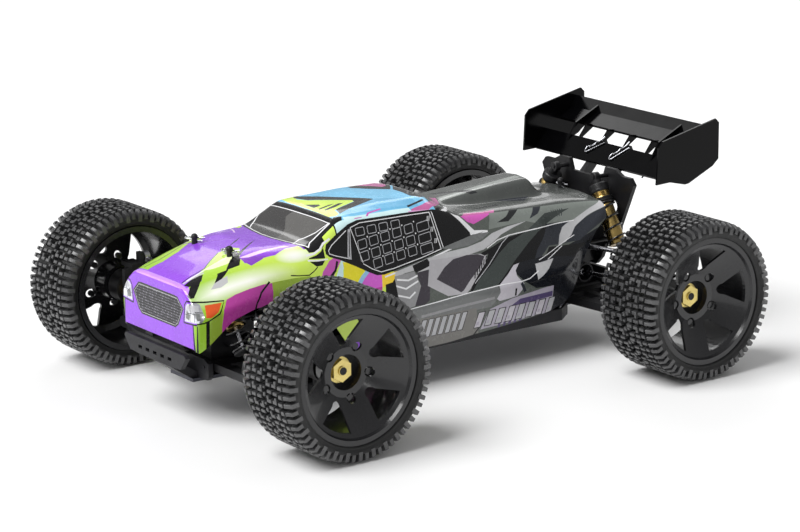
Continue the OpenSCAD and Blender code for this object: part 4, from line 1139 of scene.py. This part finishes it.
top("lime", (-109, 36), (-105, 40), (-100, 38), (-97.5, 28), (-90, 25), (-70, 18), (-69, 14), (-96, -15),
    (-99.5, -28), (-97, -36), (-88, -51), (-104, -51), (-108, -30))
top("ice", (-104, 56), (-101, 45), (-90, 46.5), (-60, 47), (-32, 46.5), (-28, 56))
top("sky_deep", (-52, 23), (-20, 35), (-20, 46), (-60, 46), (-95, 44), (-99, 38))
top("ink", (-99, 38), (-52.5, 23), (-93.5, -34), (-86, -51), (-89.5, -51), (-99, -33), (-96, -16), (-69, 14),
    (-71, 19), (-96, 27.5))
top("ink", (-103, 22.5), (-92, 21.5), (-80, 16), (-84, 14), (-94, 17.5), (-103, 19))
top("ink", (-105, 15.5), (-93, 14.5), (-87, 12.5), (-93, 11.5), (-104, 12.5))
top("ink", (-105, 7), (-98, 6.5), (-97, 3), (-105, -9))
top("ink", (-112, 56), (-112, 44), (-108, 40), (-101, 43), (-105, 50), (-107, 56))
top_line("orchid", 1.6, (-82, 52), (-75, 46), (-60, 43.5))
top_line("rose", 6, (-30, 51), (-15, 47.5), (-2, 42), (8, 32), (17, 20), (22, 8))
top_line("ink", 2, (-32, 45), (-18, 41), (-10, 38.5))
top_line("ink", 2.2, (-4, 50), (6, 43.5), (13, 35), (20, 26))
top_line("white", 3, (-2, 53), (8, 47), (15, 38), (22, 27))
top("soft_black", (-18, 30), (-12, 35.5), (-7, 34), (0, 28), (12, 12), (19, 0), (21, -8), (27, -18), (20, -22),
    (8, -25), (0, -22), (-18, 4))
for i in range(4):
    top_line("grey_mid", 1.6, (-4 - 4 * i, 31 - 2.5 * i), (14 - 4 * i, 6 - 2.5 * i), (20 - 4 * i, -9 - i))
top("ink", (-44, -24), (-36, -12), (-20, 2), (-16, -2), (-10, -12), (0, -22), (8, -26), (5, -38), (-2, -50),
    (-10, -51), (-34, -40), (-42, -34))
top("rose", (-33, -32), (-20, -10), (-14, -12), (-3, -34), (-8, -45))
top("sky", (6, -53), (8, -30), (14, -23), (22, -21), (28, -30), (34, -44), (38, -51))
top("soft_black", (22, -22), (38, -52), (112, -46), (92, -24))
top("grey_mid", (60, -24), (85, -24), (108, -45), (92, -46))
top("mist_green", (25, 10), (25, 18), (125, 10), (120, 4))
top("soft_black", (30, -5), (45, 3), (62, 11), (66, 18), (58, 18), (50, 10), (30, 0))
top("rose", (22, 52), (28, 47), (50, 44.5), (66, 42), (60, 50), (40, 53))
top("soft_black", (45, 37), (60, 33), (78, 31), (78, 34), (60, 36))
top("slate", (80, 24), (110, 30), (120, 24))

# Nose, from the front
# Paler purple along the top of the nose panel: a painted highlight
front("purple_painted_highlight", (0, 119.5), (45, 119.5), (45, 126), (0, 126))
paint.shape(FRONT, "ink", [(-41, 103), (-32, 111.5), (-27, 112.3), (27, 112.3), (32, 111.5), (41, 103),
                           (32, 87.5), (27, 84.5), (-27, 84.5), (-32, 87.5)])
paint.shape(FRONT, "grille", [(-39, 103), (-31, 110), (31, 110), (39, 103), (31, 89), (27, 86.2), (-27, 86.2),
                              (-31, 89)])
front_line("ink", 1.0, (0, 111.4), (31.4, 111.4), (40.4, 103), (32, 88.2), (27.4, 84.8), (0, 84.8))
front_line("grey_pale", 0.45, (0, 110.2), (30.8, 110.2), (39, 102.9), (30.9, 88.8), (26.8, 86), (0, 86))
front("lamp", (42.5, 93), (44.5, 106.5), (47, 109), (62, 110.5), (62, 94.5))
front("grey_mid", (44.5, 96), (49.5, 95), (51.5, 100), (46, 103.5))
front("white", (51, 95), (56.5, 95.2), (57, 100.5), (53, 101.5))
front("silver", (46.5, 105), (52, 102.6), (57.5, 103), (56, 108.6), (49, 108))
front_line("ink", 0.5, (44, 99), (51.5, 101.8), (60, 101.5))
front_line("ink", 0.5, (51, 94), (52.4, 102), (50.5, 109))
front_line("grey_mid", 0.6, (57.6, 95), (58, 110))
front_line("ink", 1.3, (41, 91.5), (43, 107.5), (46, 110.8), (62, 111.8))
front_line("ink", 1.3, (41, 91.5), (62, 93))
front("lime", (56.5, 92), (63, 92), (63, 62), (58, 62))
front_line("ink", 1.6, (55.5, 92), (57, 64))


def finish_shell():
    """Moves the painted skin into the frame and keeps the uncut surface's smooth normals."""
    mesh = bpy.data.meshes.new("painted_shell")
    mesh.from_pydata([row(p) for p in paint.points], [], paint.faces)
    mesh.polygons.foreach_set("material_index", paint.colours)
    for colour in COLOURS:
        mesh.materials.append(MAT[colour])
    mesh.shade_smooth()
    mesh.update()
    rim_from = len(outer_faces) + len(inner_faces)
    normals = []
    for k, loop in enumerate(paint.faces):
        flat = rim_from <= k < rim_from + len(rim_faces)
        normals += [mesh.polygons[k].normal.copy() if flat else paint.normals[w] for w in loop]
    mesh.normals_split_custom_set(normals)
    o = show("painted_shell", mesh)
    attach(o, "chassis")
    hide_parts("body_shell")


finish_shell()


# ---------- stage, light and camera ----------
FLOOR = 12.0                               # half the floor's width in metres
floor_mesh = bpy.data.meshes.new("floor")
floor_mesh.from_pydata([(-FLOOR, -FLOOR, 0), (FLOOR, -FLOOR, 0), (FLOOR, FLOOR, 0), (-FLOOR, FLOOR, 0)], [],
                       [(0, 1, 2, 3)])
floor = show("floor", floor_mesh)
n = Nodes("studio_floor")
n.link(n.mix(n.noise(2.0), (0.86, 0.86, 0.86, 1), (0.88, 0.88, 0.88, 1)), "Base Color")
n.put(Roughness=0.7, Specular_IOR_Level=0.2)
floor_mesh.materials.append(n.material)

world = bpy.data.worlds.new("studio")
bpy.context.scene.world = world
world.use_nodes = True
sky = world.node_tree.nodes["Background"]
sky.inputs["Color"].default_value = (1, 1, 1, 1)
sky.inputs["Strength"].default_value = 0.31


def area(name, place, aim, size, power):
    """A rectangular softbox that faces a point."""
    light = bpy.data.lights.new(name, "AREA")
    light.shape = "RECTANGLE"
    light.size, light.size_y = size
    light.energy = power
    o = show(name, light)
    o.location = place
    o.rotation_mode = "QUATERNION"
    o.rotation_quaternion = (Vector(aim) - Vector(place)).to_track_quat("-Z", "Y")


sun = bpy.data.lights.new("broad_light", "SUN")
sun.energy = 3.3
sun.angle = math.radians(38)
sun_object = show("broad_light", sun)
sun_object.rotation_mode = "QUATERNION"
sun_object.rotation_quaternion = Vector((0.06, 0.72, -1)).to_track_quat("-Z", "Y")
area("back_softbox", (-1.3, 1.0, 1.3), (0, 0.1, 0.1), (1.6, 0.6), 7.5)
area("front_softbox", (-1.9, -1.6, 0.75), (0, -0.1, 0.08), (1.3, 0.8), 7)
area("side_softbox", (1.9, -0.9, 0.7), (0, 0, 0.05), (0.7, 0.4), 3)

# The camera looks at AIM along its bearing and height in degrees, from DISTANCE metres, rolled a little
AIM, DISTANCE = (-99.4, 63.5, 59.7), 2.638
AZ, EL, ROLL = math.radians(54.2), math.radians(14.5), math.radians(-0.61)
back = Vector((math.sin(AZ) * math.cos(EL), -math.cos(AZ) * math.cos(EL), math.sin(EL)))
right = Vector((math.cos(AZ), math.sin(AZ), 0))
up = back.cross(right)
right, up = (
    right * math.cos(ROLL) + up * math.sin(ROLL),
    up * math.cos(ROLL) - right * math.sin(ROLL),
)
camera = show("camera", bpy.data.cameras.new("camera"))
spot = row(AIM) + back * DISTANCE
camera.matrix_world = Matrix((
    (right.x, up.x, back.x, spot.x),
    (right.y, up.y, back.y, spot.y),
    (right.z, up.z, back.z, spot.z),
    (0, 0, 0, 1),
))
camera.data.sensor_width = 36
camera.data.lens = 125.8
bpy.context.scene.camera = camera
bpy.context.scene.view_settings.view_transform = "Standard"
